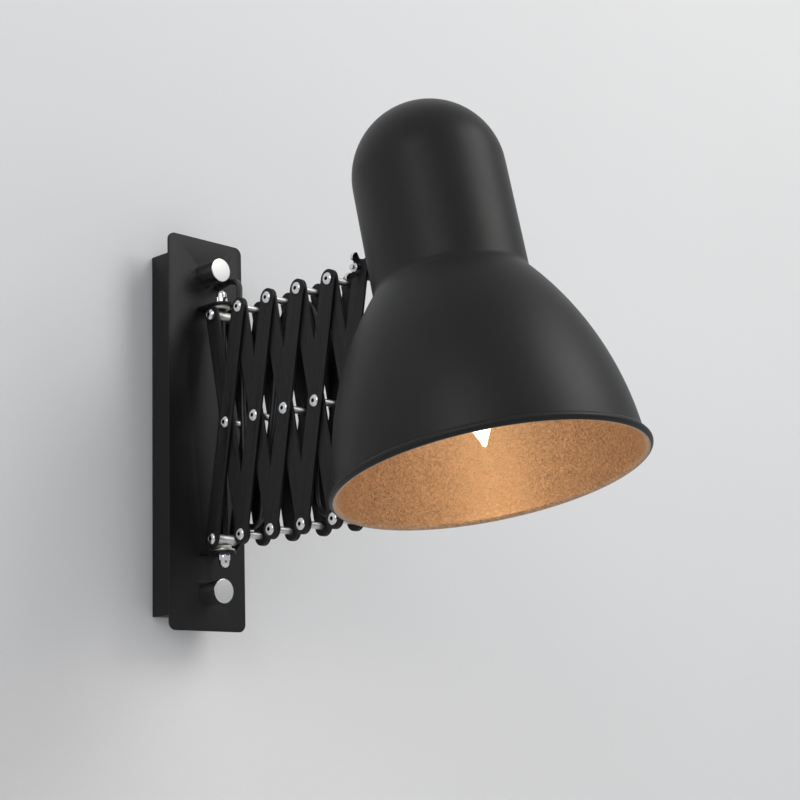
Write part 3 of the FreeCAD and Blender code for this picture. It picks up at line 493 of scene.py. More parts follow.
def ring_of_vertices(profile, segments):
    """Each vertex's place along the profile, in the order that turn makes them."""
    rings = []
    for i, point in enumerate(profile):
        rings += [i] * (1 if point[0] < ON_AXIS else segments)
    return rings


def two_finishes(piece, profile, segments, first, last, looks):
    """Gives a turned piece two finishes: the second from the first ring to the last."""
    for look in looks:
        piece.data.materials.append(material(look))
    rings = ring_of_vertices(profile, segments)
    for face in piece.data.polygons:
        spots = [rings[v] for v in face.vertices]
        face.material_index = 1 if first <= min(spots) and max(spots) <= last else 0


def paint_socket_shade(piece, profile, segments, first):
    """Marks the first rings of a turned piece, a screw's socket, for painted shade: the metal's colour is
    darkened there to stand in for the shade inside it.
    """
    mark = piece.data.attributes.new("painted_socket_shade", "FLOAT", "POINT")
    mark.data.foreach_set("value", [float(ring < first) for ring in ring_of_vertices(profile, segments)])
    return piece


def smooth(piece, angle):
    """Smooth shading, with the edges sharper than the angle kept crisp."""
    for face in piece.data.polygons:
        face.use_smooth = True
    piece.data.set_sharp_from_angle(angle=math.radians(angle))
    return piece


def in_metres(place):
    """A place whose shift was in millimetres."""
    where = place.copy()
    where.translation *= MM
    return where


def settle(piece, body, look, nodes, place=None):
    """Puts a finished piece in its place, gives it its look and lets it ride on its body."""
    if place is not None:
        piece.data.transform(in_metres(place))
    shown(piece)
    if look is not None:
        piece.data.materials.clear()
        piece.data.materials.append(material(look))
    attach(piece, body)
    if nodes:
        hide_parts(*nodes)
    return piece


def joined(name, part, places):
    """One mesh object from copies of a part, with the part's finishes."""
    bm = bmesh.new()
    for place in places:
        mesh = part.data.copy()
        mesh.transform(in_metres(place))
        bm.from_mesh(mesh)
        bpy.data.meshes.remove(mesh)
    piece = solid(name, bm)
    for look in part.data.materials:
        piece.data.materials.append(look)
    return piece


def evaluated_mesh(piece):
    """A plain mesh of what the piece shows."""
    shown(piece)
    bpy.context.view_layer.update()
    return bpy.data.meshes.new_from_object(piece.evaluated_get(bpy.context.evaluated_depsgraph_get()))


def baked(piece):
    """The piece with its modifiers turned into plain mesh."""
    mesh = evaluated_mesh(piece)
    piece.modifiers.clear()
    piece.data = mesh
    return piece


def eased(name, node, edge, steps=2, angle=25.0):
    """A copy of a CAD node with its flats made whole and its edges rounded by edge, in mm."""
    mesh = frame["nodes"][node].data.copy()
    mesh.name = name
    bm = bmesh.new()
    bm.from_mesh(mesh)
    bmesh.ops.remove_doubles(bm, verts=bm.verts, dist=WELD)
    bmesh.ops.dissolve_limit(bm, angle_limit=FLAT, verts=bm.verts, edges=bm.edges)
    bm.to_mesh(mesh)
    bm.free()
    piece = bpy.data.objects.new(name, mesh)
    return rounded(piece, edge * MM, steps, angle, 38.0)


def rounded(piece, width, steps, angle, crisp):
    """The piece with the edges sharper than angle rounded, and those past crisp kept sharp."""
    bevel = piece.modifiers.new("edge", "BEVEL")
    bevel.width = width
    bevel.segments = steps
    bevel.limit_method = "ANGLE"
    bevel.angle_limit = math.radians(angle)
    return smooth(baked(piece), crisp)


def settle_eased(name, node, body, slot, look, edge, *bevel):
    """Puts a CAD node's copy with rounded edges in the node's place."""
    settle(eased(name, node, edge, *bevel), body, look, [node])


def dress(node, look):
    """Gives a CAD node that keeps its shape its finish."""
    thing = frame["nodes"][node]
    thing.data.materials.clear()
    thing.data.materials.append(material(look))
    for face in thing.data.polygons:
        face.material_index = 0


# ---------------------------------------------------------------- geometry nodes
class Recipe:
    """A Geometry Nodes tree with named inputs, built as a chain of nodes."""

    def __init__(self, name, **inputs):
        self.tree = bpy.data.node_groups.new(name, "GeometryNodeTree")
        self.tree.interface.new_socket("Geometry", in_out="INPUT", socket_type="NodeSocketGeometry")
        self.tree.interface.new_socket("Geometry", in_out="OUTPUT", socket_type="NodeSocketGeometry")
        for label, kind in inputs.items():
            self.tree.interface.new_socket(label, in_out="INPUT", socket_type=f"NodeSocket{kind}")
        self.start = self.tree.nodes.new("NodeGroupInput")
        self.end = self.tree.nodes.new("NodeGroupOutput")

    def add(self, kind, settings=None, sockets=None, output=0):
        return add_node(self.tree, kind, settings, sockets).outputs[output]

    def maths(self, operation, first, second):
        return self.add("ShaderNodeMath", {"operation": operation}, {0: first, 1: second})

    def vector(self, x=0.0, y=0.0, z=0.0):
        return self.add("ShaderNodeCombineXYZ", None, {"X": x, "Y": y, "Z": z})

    def moved(self, geometry, **how):
        return self.add("GeometryNodeTransform", None, {"Geometry": geometry, **how})

    def join(self, *parts):
        return self.add("GeometryNodeJoinGeometry", None, {"Geometry": list(parts)})

    def close(self, geometry):
        """Ends the tree in real geometry with its material set."""
        whole = self.add("GeometryNodeRealizeInstances", None, {"Geometry": geometry})
        dressed = self.add("GeometryNodeSetMaterial", None,
                           {"Geometry": whole, "Material": self.start.outputs["Material"]})
        self.tree.links.new(dressed, self.end.inputs["Geometry"])
        return self.tree

    def use(self, piece, **amounts):
        """Runs the tree on a piece and keeps what it makes as plain mesh."""
        modifier = piece.modifiers.new("recipe", "NODES")
        modifier.node_group = self.tree
        for item in self.tree.interface.items_tree:
            if item.item_type == "SOCKET" and item.in_out == "INPUT" and item.name in amounts:
                modifier[item.identifier] = amounts[item.name]
        return baked(piece)


def link_recipe():
    """A pair of flat links, one in each row: a round-ended strip with its pivot holes, stood up
    from its foot and leant over."""
    r = Recipe("scissor_links", Length="Float", Width="Float", Thickness="Float", Hole="Float",
               Lean="Float", Layer="Float", Middle="Bool", Foot="Vector", Material="Material")
    g = r.start.outputs
    strip = r.add("GeometryNodeCurvePrimitiveQuadrilateral", {"mode": "RECTANGLE"},
                  {"Width": g["Width"], "Height": r.maths("ADD", g["Length"], g["Width"])})
    ends = r.add("GeometryNodeFilletCurve", {"mode": "POLY"},
                 {"Curve": strip, "Count": 20, "Radius": r.maths("MULTIPLY", g["Width"], 0.4999)})
    half = r.maths("MULTIPLY", g["Length"], 0.5)
    holes = []
    for share in (-1.0, 0.0, 1.0):
        circle = r.add("GeometryNodeCurvePrimitiveCircle", {"mode": "RADIUS"},
                       {"Resolution": 28, "Radius": g["Hole"]})
        hole = r.moved(circle, Translation=r.vector(y=r.maths("MULTIPLY", half, share)))
        if share == 0.0:
            hole = r.add("GeometryNodeSwitch", {"input_type": "GEOMETRY"},
                         {"Switch": g["Middle"], "True": hole})
        holes.append(hole)
    sheet = r.add("GeometryNodeFillCurve", None, {"Curve": r.join(ends, *holes)})
    raised = r.add("GeometryNodeExtrudeMesh", {"mode": "FACES"}, {
        "Mesh": sheet, "Offset": r.vector(z=1.0), "Offset Scale": g["Thickness"], "Individual": False})
    back = r.add("GeometryNodeFlipFaces", None, {"Mesh": sheet})
    closed = r.add("GeometryNodeMergeByDistance", None,
                   {"Geometry": r.join(raised, back), "Distance": 1e-6})
    lifted = r.moved(closed, Translation=r.vector(y=half))
    upright = r.moved(lifted, Rotation=(math.pi / 2, 0.0, math.pi / 2))
    mirrored = r.maths("MULTIPLY", r.maths("ADD", g["Layer"], g["Thickness"]), -1.0)
    rows = [r.moved(upright, Translation=r.vector(x=start)) for start in (mirrored, g["Layer"])]
    r.close(r.moved(r.join(*rows), Rotation=r.vector(x=g["Lean"]), Translation=g["Foot"]))
    return r


def pivot_recipe(name, ends):
    """Copies of a turned piece on each vertex of a mesh, along X. ends are the signs of the sides
    that it stands on, each Offset from the middle plane and facing away from it."""
    r = Recipe(name, Piece="Object", Offset="Float", Material="Material")
    g = r.start.outputs
    master = r.add("GeometryNodeObjectInfo", None, {"Object": g["Piece"]}, "Geometry")
    points = r.add("GeometryNodeMeshToPoints", None, {"Mesh": g["Geometry"]})
    rows = []
    for side in ends:
        shift = r.vector(x=r.maths("MULTIPLY", g["Offset"], float(side)))
        placed = r.add("GeometryNodeSetPosition", None, {"Geometry": points, "Offset": shift})
        rows.append(r.add("GeometryNodeInstanceOnPoints", None, {
            "Points": placed, "Instance": master, "Rotation": (0.0, side * math.pi / 2, 0.0)}))
    r.close(r.join(*rows))
    return r


def points_mesh(name, points):
    """A mesh of loose vertices, one at each point."""
    mesh = bpy.data.meshes.new(name)
    mesh.from_pydata([Vector(point) * MM for point in points], [], [])
    return bpy.data.objects.new(name, mesh)


# ---------------------------------------------------------------- operators
class LampOperator(bpy.types.Operator):
    """What every operator of the lamp shares."""
    bl_options = {"REGISTER", "UNDO"}

    def execute(self, context):
        self.make()
        return {"FINISHED"}


class LAMP_OT_camera(LampOperator):
    """Puts the camera where the photograph was taken"""
    bl_idname = "lamp.camera"
    bl_label = "Camera"
    place = (-796.73, -987.87, -240.02)
    yaw, pitch, roll = 46.578, 11.845, -1.838
    focal_pixels, frame_pixels, sensor = 1668.58, 800.0, 36.0

    def make(self):
        yaw, pitch, roll = (math.radians(a) for a in (self.yaw, self.pitch, self.roll))
        forward = Vector((math.sin(yaw) * math.cos(pitch), math.cos(yaw) * math.cos(pitch),
                          math.sin(pitch)))
        level = Vector((math.cos(yaw), -math.sin(yaw), 0))
        above = level.cross(forward)
        right = math.cos(roll) * level + math.sin(roll) * above
        top = -math.sin(roll) * level + math.cos(roll) * above
        camera = bpy.data.cameras.new("camera")
        camera.sensor_width = self.sensor
        camera.lens = self.focal_pixels * self.sensor / self.frame_pixels
        holder = bpy.data.objects.new("camera", camera)
        turned = Matrix((right, top, -forward)).transposed().to_4x4()
        holder.matrix_world = Matrix.Translation(Vector(self.place) * MM) @ turned
        bpy.context.scene.camera = shown(holder)


CORD_RADIUS = 2.3
GLAND = Vector((14, -PLATE_FACE, 117))
INLET_HEIGHT, NECK_RADIUS, HOLDER_RADIUS = 143.0, 52.6, 11.0


def inlet_point(y):
    """A point of the cord's way into the shade, y from the shade's axis."""
    return IN_HEAD @ Vector((0, y, INLET_HEIGHT))


CORD_ROUTE = [
    (3, -8, 46), (3, -8, 62), (9, -13, 90), (13.5, -15.5, 109), (14, -24, 117), (14, -46.5, 117),
    (11, -59, 112), (5, -66, 99), (0.5, -70, 80), (0, -72.3, 50), (-0.3, -74.4, 17), (0, -74.8, -18),
    (0, -72.6, -46), (0, -72.6, -61), (0, -72.6, -72.4), (0, -78.8, -78.6), (0, -87.6, -78.6),
    (0, -93.8, -72.4), (0, -94.8, -57), (0, -97.5, -34), (0, -105.6, -4), (0, -110, 26), (0, -112.6, 52),
    (0, -117.5, 69), (0, -127, 78.3), (0, -139, 79.4), (0, -149, 74), (0, -155, 60), (0, -156, 34),
    (0, -153.6, 2), (0, -150.4, -28), (0, -150.6, -52), (0, -150.7, -70.8), (0, -158.5, -78.6),
    (0, -169.5, -78.6), (0, -177.3, -70.8), (0, -177.4, -54), (0, -176.4, -28), (0, -177, 0),
    (0, -181, 26), (0, -190, 44)]

# where the cord is cut, and the body that holds it there: each neighbour is one joint away
CORD_HOLDS = [
    ("in_box", (14, -45.5, 117), "wall_unit"), ("beside_rod", (0, -72, 54), "swivel"),
    ("to_crossing", (0, -73.4, 30), "rising_1"), ("past_crossing", (0, -73.6, -34), "falling_1"),
    ("to_first_bend", (0, -72.6, -58), "rising_1"), ("first_bend", (0, -94.4, -63), "falling_2"),
    ("rising_start", (0, -96.9, -40), "rising_2"), ("rising_middle", (0, -102.2, -17), "falling_2"),
    ("rising_run", (0, -107, 6), "falling_2"), ("top_bend", (0, -145.3, 76), "rising_3"),
    ("falling_start", (0, -155, 55), "falling_4"), ("falling_run", (0, -155.5, 31), "falling_4"),
    ("last_descent", (0, -150.5, -40), "rising_4"), ("to_last_bend", (0, -150.7, -63), "rising_4"),
    ("last_bend", (0, -177.4, -61), "falling_4"), ("inlet_run", (0, -189, 42), "rising_5")]


class LAMP_OT_cord(LampOperator):
    """Makes the supply cord, in stretches cut where it passes from one link to the next"""
    bl_idname = "lamp.cord"
    bl_label = "Supply cord"
    sides = 16
    lying = 0.8                     # past this share of X, a stretch lies across the lamp
    inlet_hold = 5.0                # where the head takes hold of the cord, outside the neck
    outside_neck, before_holder, in_holder = 12.0, 18.0, -4.5

    def line(self):
        """Points along the smooth line through the route."""
        ways = (NECK_RADIUS + self.outside_neck, HOLDER_RADIUS + self.before_holder,
                HOLDER_RADIUS + self.in_holder)
        points = [Vector(point) for point in CORD_ROUTE] + [inlet_point(y) for y in ways]
        curve = bpy.data.curves.new("cord_line", "CURVE")
        curve.dimensions = "3D"
        spline = curve.splines.new("NURBS")
        spline.points.add(len(points) - 1)
        for knot, point in zip(spline.points, points):
            knot.co = (*(point * MM), 1)
        spline.order_u = 3
        spline.use_endpoint_u = True
        spline.resolution_u = 12
        holder = bpy.data.objects.new("cord_line", curve)
        line = [vertex.co.copy() for vertex in evaluated_mesh(holder).vertices]
        bpy.data.objects.remove(holder)
        return line

    def stretch(self, name, line, first, last):
        """A closed tube round a stretch of the line, with its rings square to the line."""
        rings = []
        for i in range(first, last + 1):
            along = line[min(i + 1, len(line) - 1)] - line[max(i - 1, 0)]
            side = along.cross(RIGHT if abs(along.normalized().x) < self.lying else UP).normalized()
            other = along.normalized().cross(side)
            angles = [2 * math.pi * k / self.sides for k in range(self.sides)]
            rings.append([line[i] + (side * math.cos(a) + other * math.sin(a)) * CORD_RADIUS * MM
                          for a in angles])
        return smooth(shown(tube(name, rings)), 60.0)

    def make(self):
        line = self.line()
        holds = [(name, Vector(point) * MM, body) for name, point, body in CORD_HOLDS]
        holds += [("to_head", inlet_point(NECK_RADIUS + self.inlet_hold) * MM, "head"),
                  ("in_head", line[-1], "head")]
        first, held = 0, "wall_unit"
        for name, point, body in holds:
            last = min(range(first + 1, len(line)), key=lambda i: (line[i] - point).length)
            piece = self.stretch(f"cord_{name}", line, first, last)
            piece.data.materials.append(material(cord_jacket))
            if body == held:
                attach(piece, body)
            else:
                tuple(line[first])
                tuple(line[last])
                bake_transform(piece)
            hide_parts("cord")
            first, held = last, body


class LAMP_OT_links(LampOperator):
    """Makes the lattice's flat links"""
    bl_idname = "lamp.links"
    bl_label = "Lattice links"

    def make(self):
        recipe = link_recipe()
        for k in range(CELLS):
            last = k == CELLS - 1
            number = k + 1
            foot = lattice_point(k, -1)
            rising = [f"rising_link_{number}_{row}" for row in ("near", "far")]
            falling = [f"falling_link_{number}_{row}" for row in ("near", "far")]
            if last:
                falling = ["falling_link_5"]
            self.pair(recipe, f"rising_{number}", rising, foot, 1, OUTER_LAYER, LINK_PITCH)
            foot = lattice_point(k + 0.5, 0) if last else lattice_point(k + 1, -1)
            length = LINK_PITCH / 2 if last else LINK_PITCH
            self.pair(recipe, f"falling_{number}", falling, foot, -1, INNER_LAYER, length)

    def pair(self, recipe, body, nodes, foot, lean, layer, length):
        piece = recipe.use(
            points_mesh(f"{body}_links", []), Length=length * MM, Width=sizes().link_width,
            Thickness=LINK_THICKNESS * MM, Hole=sizes().pivot_hole, Lean=lean * FOLD, Layer=layer * MM,
            Middle=length == LINK_PITCH, Foot=foot * MM, Material=material(powder_coat))
        settle(rounded(piece, sizes().edge, 3, 50.0, 40.0), body, None, nodes)


def screw_profile(length):
    """A low screw head with a hexagon socket, and its shank: heights from the head's seat."""
    s = sizes()
    r, h, flats = s.head_radius / MM, s.head_height / MM, s.socket / MM
    corner = flats / math.sqrt(3)
    return [(0, h - 1.25), (corner - 0.08, h - 1.25, flats - 0.1), (corner, h - 1.1, flats),
            (corner, h - 0.16, flats), (corner + 0.22, h - 0.03), (2.2, h - 0.02), (3.0, h - 0.16),
            (r - 0.75, h - 0.42), (r - 0.28, h - 0.75), (r - 0.04, h - 1.15), (r, h - 1.4),
            (r, 0.12), (r - 0.12, 0), (1.9, 0), (1.9, 0.3 - length), (1.6, -length), (0, -length)]


SCREW_SEGMENTS, SOCKET_RINGS = 48, 4


def turned_screw(name, length):
    """A pivot screw whose socket is marked for painted shade."""
    profile = screw_profile(length)
    piece = paint_socket_shade(turn(name, profile, SCREW_SEGMENTS), profile, SCREW_SEGMENTS, SOCKET_RINGS)
    return smooth(piece, 30.0)


class LAMP_OT_pivots(LampOperator):
    """Makes the pivots' screws and spacer tubes"""
    bl_idname = "lamp.pivots"
    bl_label = "Pivot screws and spacers"
    screw_length, collar_screw_length = 8.25, 6.95
    spacer_half, spacer_radius, spacer_edge, bore = 7.95, 2.6, 0.28, 1.96

    def make(self):
        screw = turned_screw("screw_master", self.screw_length)
        short = turned_screw("collar_screw_master", self.collar_screw_length)
        bore, radius, half = self.bore, self.spacer_radius, self.spacer_half
        outline = softened([(bore, -half), (radius, -half), (radius, half), (bore, half)],
                           self.spacer_edge)
        spacer = smooth(turn("spacer_master", outline, 40), 40.0)
        both = pivot_recipe("pivot_screws", (-1, 1))
        single = pivot_recipe("pivot_spacers", (1,))
        for k in range(CELLS):
            number, body = k + 1, f"rising_{k + 1}"
            pivots = self.carried(k)
            self.set_out(both, f"screws_{number}", screw, pivots, OUTER_FACE, chrome, body,
                         f"pivot_screws_{number}")
            self.set_out(single, f"spacers_{number}", spacer, pivots, 0.0, nickel, body,
                         f"pivot_spacers_{number}")
        for end, level, body in (("lower", -1, "swivel"), ("upper", 1, "upper_slider")):
            node = f"{end}_collar_screws"
            pivots = [lattice_point(0, level)]
            self.set_out(both, f"{node}_heads", short, pivots, OUTER_FACE, chrome, body, node)

    def carried(self, k):
        """The pivots whose hardware turns with a rising link."""
        pivots = [lattice_point(k + 0.5, 0)]
        if k > 0:
            pivots.append(lattice_point(k, -1))
        if k < CELLS - 1:
            pivots.append(lattice_point(k + 1, 1))
        return pivots

    def set_out(self, recipe, name, master, pivots, offset, look, body, node):
        piece = recipe.use(points_mesh(name, pivots), Piece=master, Offset=offset * MM,
                           Material=material(look))
        settle(piece, body, None, [node])


class LAMP_OT_wall_unit(LampOperator):
    """Makes the plate, the wall box and what is on them"""
    bl_idname = "lamp.wall_unit"
    bl_label = "Wall plate and box"
    thumb_radius, thumb_length, thumb_bore, thumb_depth, stud_height = 9.0, 18.2, 2.05, 13.0, 122.0
    thumb_segments, thumb_edge = 96, 0.45

    def make(self):
        edge = sizes().edge / MM
        settle_eased("plate", "front_plate", "wall_unit", "black_steel", powder_coat, 0.4, 3)
        sheets = (("box_walls", "wall_box"), ("tab_upper", "upper_tab"), ("tab_lower", "lower_tab"))
        for name, node in sheets:
            settle_eased(name, node, "wall_unit", "black_steel", powder_coat, edge)
        dress("mounting_strap", zinc)
        dress("plate_studs", zinc)
        dress("terminal_block", terminal_plastic)
        self.make_thumb_nuts()
        self.make_gland()

    def make_thumb_nuts(self):
        r, end, bore, depth = self.thumb_radius, self.thumb_length, self.thumb_bore, self.thumb_depth
        outside = softened([(r, 0), (r, end), (0, end + 0.05)], self.thumb_edge, 5)
        profile = [(bore, 0)] + outside[:-1] + [(0, end), (0, depth), (bore, depth)]
        nut = turn("thumb_master", profile, self.thumb_segments)
        face = len(outside)
        two_finishes(nut, profile, self.thumb_segments, face - 1, face, (chrome, nickel))
        places = [at((0, -PLATE_FACE, side * self.stud_height), OUTWARD) for side in (1, -1)]
        knobs = smooth(joined("thumb_knobs", nut, places), 30.0)
        settle(knobs, "wall_unit", None, ["thumb_nuts"])

    def make_gland(self):
        """A strain relief with the slots of its flexing nose shown as rings."""
        bore, flange, tip, rings = 2.4, 4.8, 3.1, 4
        profile = [(bore, -1.6), (3.45, -1.6), (3.45, 0), (flange, 0), (flange, 1.2), (flange - 0.3, 1.4)]
        for k in range(rings):
            reach = 4.0 - (4.0 - tip) * k / (rings - 1)
            z = 1.4 + 9.0 * k / rings
            profile += [(reach, z), (reach, z + 1.5), (reach - 0.55, z + 1.65), (reach - 0.55, z + 2.1)]
        profile += [(tip - 0.1, 10.4), (bore, 10.4)]
        gland = smooth(turn("gland", profile, 40), 35.0)
        settle(gland, "wall_unit", black_plastic, ["cord_gland"], at(GLAND, OUTWARD))


class LAMP_OT_guide_rod(LampOperator):
    """Makes the upright rod with its nuts, washers and the two collars"""
    bl_idname = "lamp.guide_rod"
    bl_label = "Guide rod and collars"
    flats, hexagon, height, dome, bore, depth = 8.0, 5.0, 10.4, 3.75, 2.55, 6.55

    def make(self):
        flats, seat, crown = self.flats, self.flats / 2, self.height - self.dome
        corner = flats / math.sqrt(3)
        profile = [(self.bore, 0), (seat - 0.1, 0, flats), (corner, 0.55, flats),
                   (corner, self.hexagon - 0.5, flats), (seat - 0.05, self.hexagon, flats),
                   (self.dome, self.hexagon + 0.1)]
        profile += arc((0, crown), self.dome, 0, 90, 14)
        profile[-1] = (0, self.height)
        profile += [(0, self.depth), (self.bore, self.depth)]
        nut = turn("cap_nut_master", profile, 72)
        top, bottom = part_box("upper_tab")[1].z / MM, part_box("lower_tab")[0].z / MM
        places = [at((0, -ROD_STANDOFF, top)),
                  at((0, -ROD_STANDOFF, bottom), Matrix.Rotation(math.pi, 4, "X"))]
        pair = smooth(joined("cap_nut_pair", nut, places), 24.0)
        settle(pair, "wall_unit", chrome, ["cap_nuts"])
        settle_eased("rod", "guide_rod", "wall_unit", "black_steel", powder_coat, 0.25)
        settle_eased("broad_washer", "steel_washer", "wall_unit", "zinc_steel", zinc, 0.2)
        settle_eased("nylon_pair", "nylon_washers", "wall_unit", "nylon", nylon, 0.25)
        for node, body in (("lower_collar", "swivel"), ("upper_collar", "upper_slider")):
            settle_eased(f"{node}_bar", node, body, "chrome", nickel, 0.3, 3, 40.0)
        settle_eased("packing_washers", "upper_collar_washers", "upper_slider", "chrome", nickel, 0.15)


class LAMP_OT_shade(LampOperator):
    """Makes the bell shade, black outside and copper inside, with its rolled rim"""
    bl_idname = "lamp.shade"
    bl_label = "Shade"
    wall, rim, bead, curve, shoulder, fillet, dome = 1.2, 100.2, 2.7, 225.6, 131.8, 10.0, 214.3
    segments, bead_steps, bead_lined = 180, 22, 7

    def bell(self):
        """The centre of the bell's curve and of the shoulder's rounding."""
        span = Vector((NECK_RADIUS - self.rim, self.shoulder))
        middle = Vector((self.rim, 0)) + span / 2
        inward = Vector((-span.y, span.x)).normalized()
        bell = middle + inward * math.sqrt(self.curve ** 2 - span.length_squared / 4)
        soft_x = NECK_RADIUS + self.fillet
        soft_z = bell.y + math.sqrt((self.curve + self.fillet) ** 2 - (soft_x - bell.x) ** 2)
        return bell, Vector((soft_x, soft_z))

    def skin(self, inset):
        """One surface of the shell from the rim up to the crown, inset from the outside."""
        bell, soft = self.bell()
        toward = soft - bell
        lift = math.degrees(math.atan2(toward.y, toward.x))
        radius = self.curve - inset
        start = math.degrees(math.asin(-bell.y / radius))
        points = arc(bell, radius, start, lift, 26)
        points += arc(soft, self.fillet + inset, lift + 180, 180, 8)[1:]
        crown = NECK_RADIUS - inset
        points += [(crown, soft.y + (self.dome - soft.y) * k / 5) for k in range(1, 5)]
        points += arc((0, self.dome), crown, 0, 90, 24)
        points[-1] = (0, self.dome + crown)
        return points

    def make(self):
        outside, inside = self.skin(0.0), self.skin(self.wall)
        centre = (self.rim - self.wall + self.bead, 0)
        meets = math.degrees(math.acos((self.rim - centre[0]) / self.bead))
        roll = arc(centre, self.bead, 180, 360 + meets, self.bead_steps)
        profile = inside[::-1][:-1] + roll + outside[1:]
        lined = len(inside) - 1 + self.bead_lined
        piece = turn("bell_shade", profile, self.segments)
        two_finishes(piece, profile, self.segments, 0, lined, (shade_paint, copper_lining))
        settle(smooth(piece, 50.0), "head", None, ["shade"], IN_HEAD)


class LAMP_OT_head_pivot(LampOperator):
    """Makes the shade's bracket, its rivets, the pivot bolt and the wing nut"""
    bl_idname = "lamp.head_pivot"
    bl_label = "Head pivot"
    rivet_gap, rivet_head, rivet_height, rivet_shank = 23.0, 3.75, 1.6, 2.0
    bracket, shelf, wall = 2.5, 1.6, 1.2

    def make(self):
        settle_eased("bracket", "shade_bracket", "head", "black_shade", powder_coat, 0.6, 3, 40.0)
        settle_eased("butterfly", "wing_nut", "wing", "chrome", chrome, 0.55, 4, 30.0)
        low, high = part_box("head_pivot_bolt")
        bolt = turned_screw("bolt", (high.x - low.x - sizes().head_height) / MM)
        settle(bolt, "rising_5", chrome, ["head_pivot_bolt"],
               at(lattice_point(CELLS, 1) + Vector((OUTER_FACE, 0, 0)), TO_FAR))
        grip = self.bracket + self.shelf + self.wall
        r, h, s = self.rivet_head, self.rivet_height, self.rivet_shank
        quarter = [math.pi / 2 * k / 8 for k in range(9)]
        profile = [(0, -grip - h)] + [(r * math.sin(a), -grip - h * math.cos(a)) for a in quarter]
        profile += [(s, -grip), (s, 0)] + [(r * math.cos(a), h * math.sin(a)) for a in quarter]
        profile[-1] = (0, h)
        rivet = turn("rivet_master", profile, 40)
        seat = NECK_RADIUS + self.bracket
        places = [IN_HEAD @ at((0, seat, HEAD_RISE + side * self.rivet_gap / 2), ACROSS)
                  for side in (1, -1)]
        rivets = smooth(joined("rivets", rivet, places), 40.0)
        settle(rivets, "head", zinc, ["bracket_rivets"])


class LAMP_OT_lampholder(LampOperator):
    """Makes the lampholder with its fixings, and the candle lamp in it"""
    bl_idname = "lamp.lampholder"
    bl_label = "Lampholder and lamp"
    base, height, skirt, wide, slim = 95.0, 54.0, 30.0, 13.5, 11.0
    socket, throat, thread, nipple_depth = 7.25, 22.25, 5.05, 44.05
    ribs, cap_threads, glass_wall = 9, 5, 0.7
    glass_length, glass_outline = 76.0, (
        (0, 6.5), (6, 7.2), (18, 14.2), (33, 17.5), (46, 15.6), (58, 9.8), (66, 5.2), (73, 2.0))

    def make(self):
        for node in ("holder_nipple", "nipple_nut"):
            dress(node, zinc)
        settle_eased("shelf", "holder_shelf", "head", "zinc_steel", zinc, 0.3, 2)
        settle_eased("neck_bushing", "shade_bushing", "head", "black_plastic", black_plastic, 0.35, 3)
        self.make_holder()
        self.make_lamp()

    def make_holder(self):
        """A ribbed skirt and a slim top, with its bore and the hole for the nipple."""
        wide, slim, top, skirt = self.wide, self.slim, self.height, self.skirt
        profile = [(self.socket, 0), (wide - 0.8, 0), (wide, 0.8)]
        for k in range(self.ribs):
            z = 3.0 + 24.0 * k / self.ribs
            profile += [(wide, z), (wide - 0.5, z + 0.5), (wide - 0.5, z + 1.1), (wide, z + 1.6)]
        profile += [(wide, skirt - 0.6), (wide - 0.6, skirt), (slim, skirt + 3), (slim, top - 1.2),
                    (slim - 1.2, top), (self.thread, top), (self.thread, self.nipple_depth),
                    (0, self.nipple_depth), (0, self.throat), (self.socket, self.throat)]
        place = IN_HEAD @ at((0, 0, self.base))
        holder = smooth(turn("holder", profile, 72), 30.0)
        settle(holder, "head", holder_plastic, ["lampholder"], place)

    def make_lamp(self):
        """A cap with a thread of rings, a thin candle of glass, and its stem and filament."""
        profile = [(0, 0), (6.6, 0), (6.6, 1.5)]
        for k in range(self.cap_threads):
            z = 2.5 + 2.8 * k
            profile += [(6.45, z), (6.95, z + 0.7), (6.95, z + 1.2), (6.45, z + 2.0)]
        profile += [(6.3, 17.6), (4.4, 19.6), (2.4, 21.0), (2.3, 22.0), (0, 22.0)]
        cap = smooth(turn("cap", profile, 56), 40.0)
        settle(cap, "head", lamp_cap_metal, ["lamp_cap"], IN_HEAD @ at((0, 0, self.base)))
        walls = self.candle(0.0) + self.candle(self.glass_wall)[::-1]
        glass = smooth(turn("candle_glass", walls, 72), 60.0)
        place = IN_HEAD @ at((0, 0, self.base), Matrix.Rotation(math.pi, 4, "X"))
        settle(glass, "head", glowing_glass, ["lamp_glass"], place)
        profile = [(0, 1), (4.2, 1), (3.2, 8), (1.6, 20), (1.2, 27), (0, 27.5)]
        stem = smooth(turn("lamp_stem", profile, 32), 40.0)
        settle(stem, "head", glowing_glass, (), place)
        self.make_filament(place)

    def candle(self, inset):
        """The glass's outline from its neck to its tip, inset by the glass's thickness."""
        points = []
        for (z, r), (z2, r2) in zip(self.glass_outline, self.glass_outline[1:]):
            start = z + (inset if z == 0 else 0)
            for k in range(4):
                t = k / 4
                share = t * t * (3 - 2 * t) * 0.35 + t * 0.65
                points.append((max(r + (r2 - r) * share - inset, 0.4), (z2 - z) * t + start))
        end = self.glass_length - inset
        return points + [(1.4 - min(inset, 0.6), end - 1.2), (0, end)]

    def make_filament(self, place):
        """A coiled wire bent in an arch above the stem."""
        turns, steps, radius, wire, arch, foot, rise = 22, 12, 0.7, 0.13, 6.0, 30.0, 7.0
        depth = Vector((0, 1, 0))
        rings = []
        total = turns * steps
        for i in range(total + 1):
            t = i / total
            along = math.pi * t
            core = Vector((arch * math.cos(along), 0, foot + rise * math.sin(along)))
            out = Vector((math.cos(along), 0, math.sin(along)))
            spin = 2 * math.pi * turns * t
            here = core + (out * math.cos(spin) + depth * math.sin(spin)) * radius
            rings.append([(here + way * wire) * MM for way in (out, depth, -out, -depth)])
        settle(tube("filament", rings), "head", hot_filament, (), place)


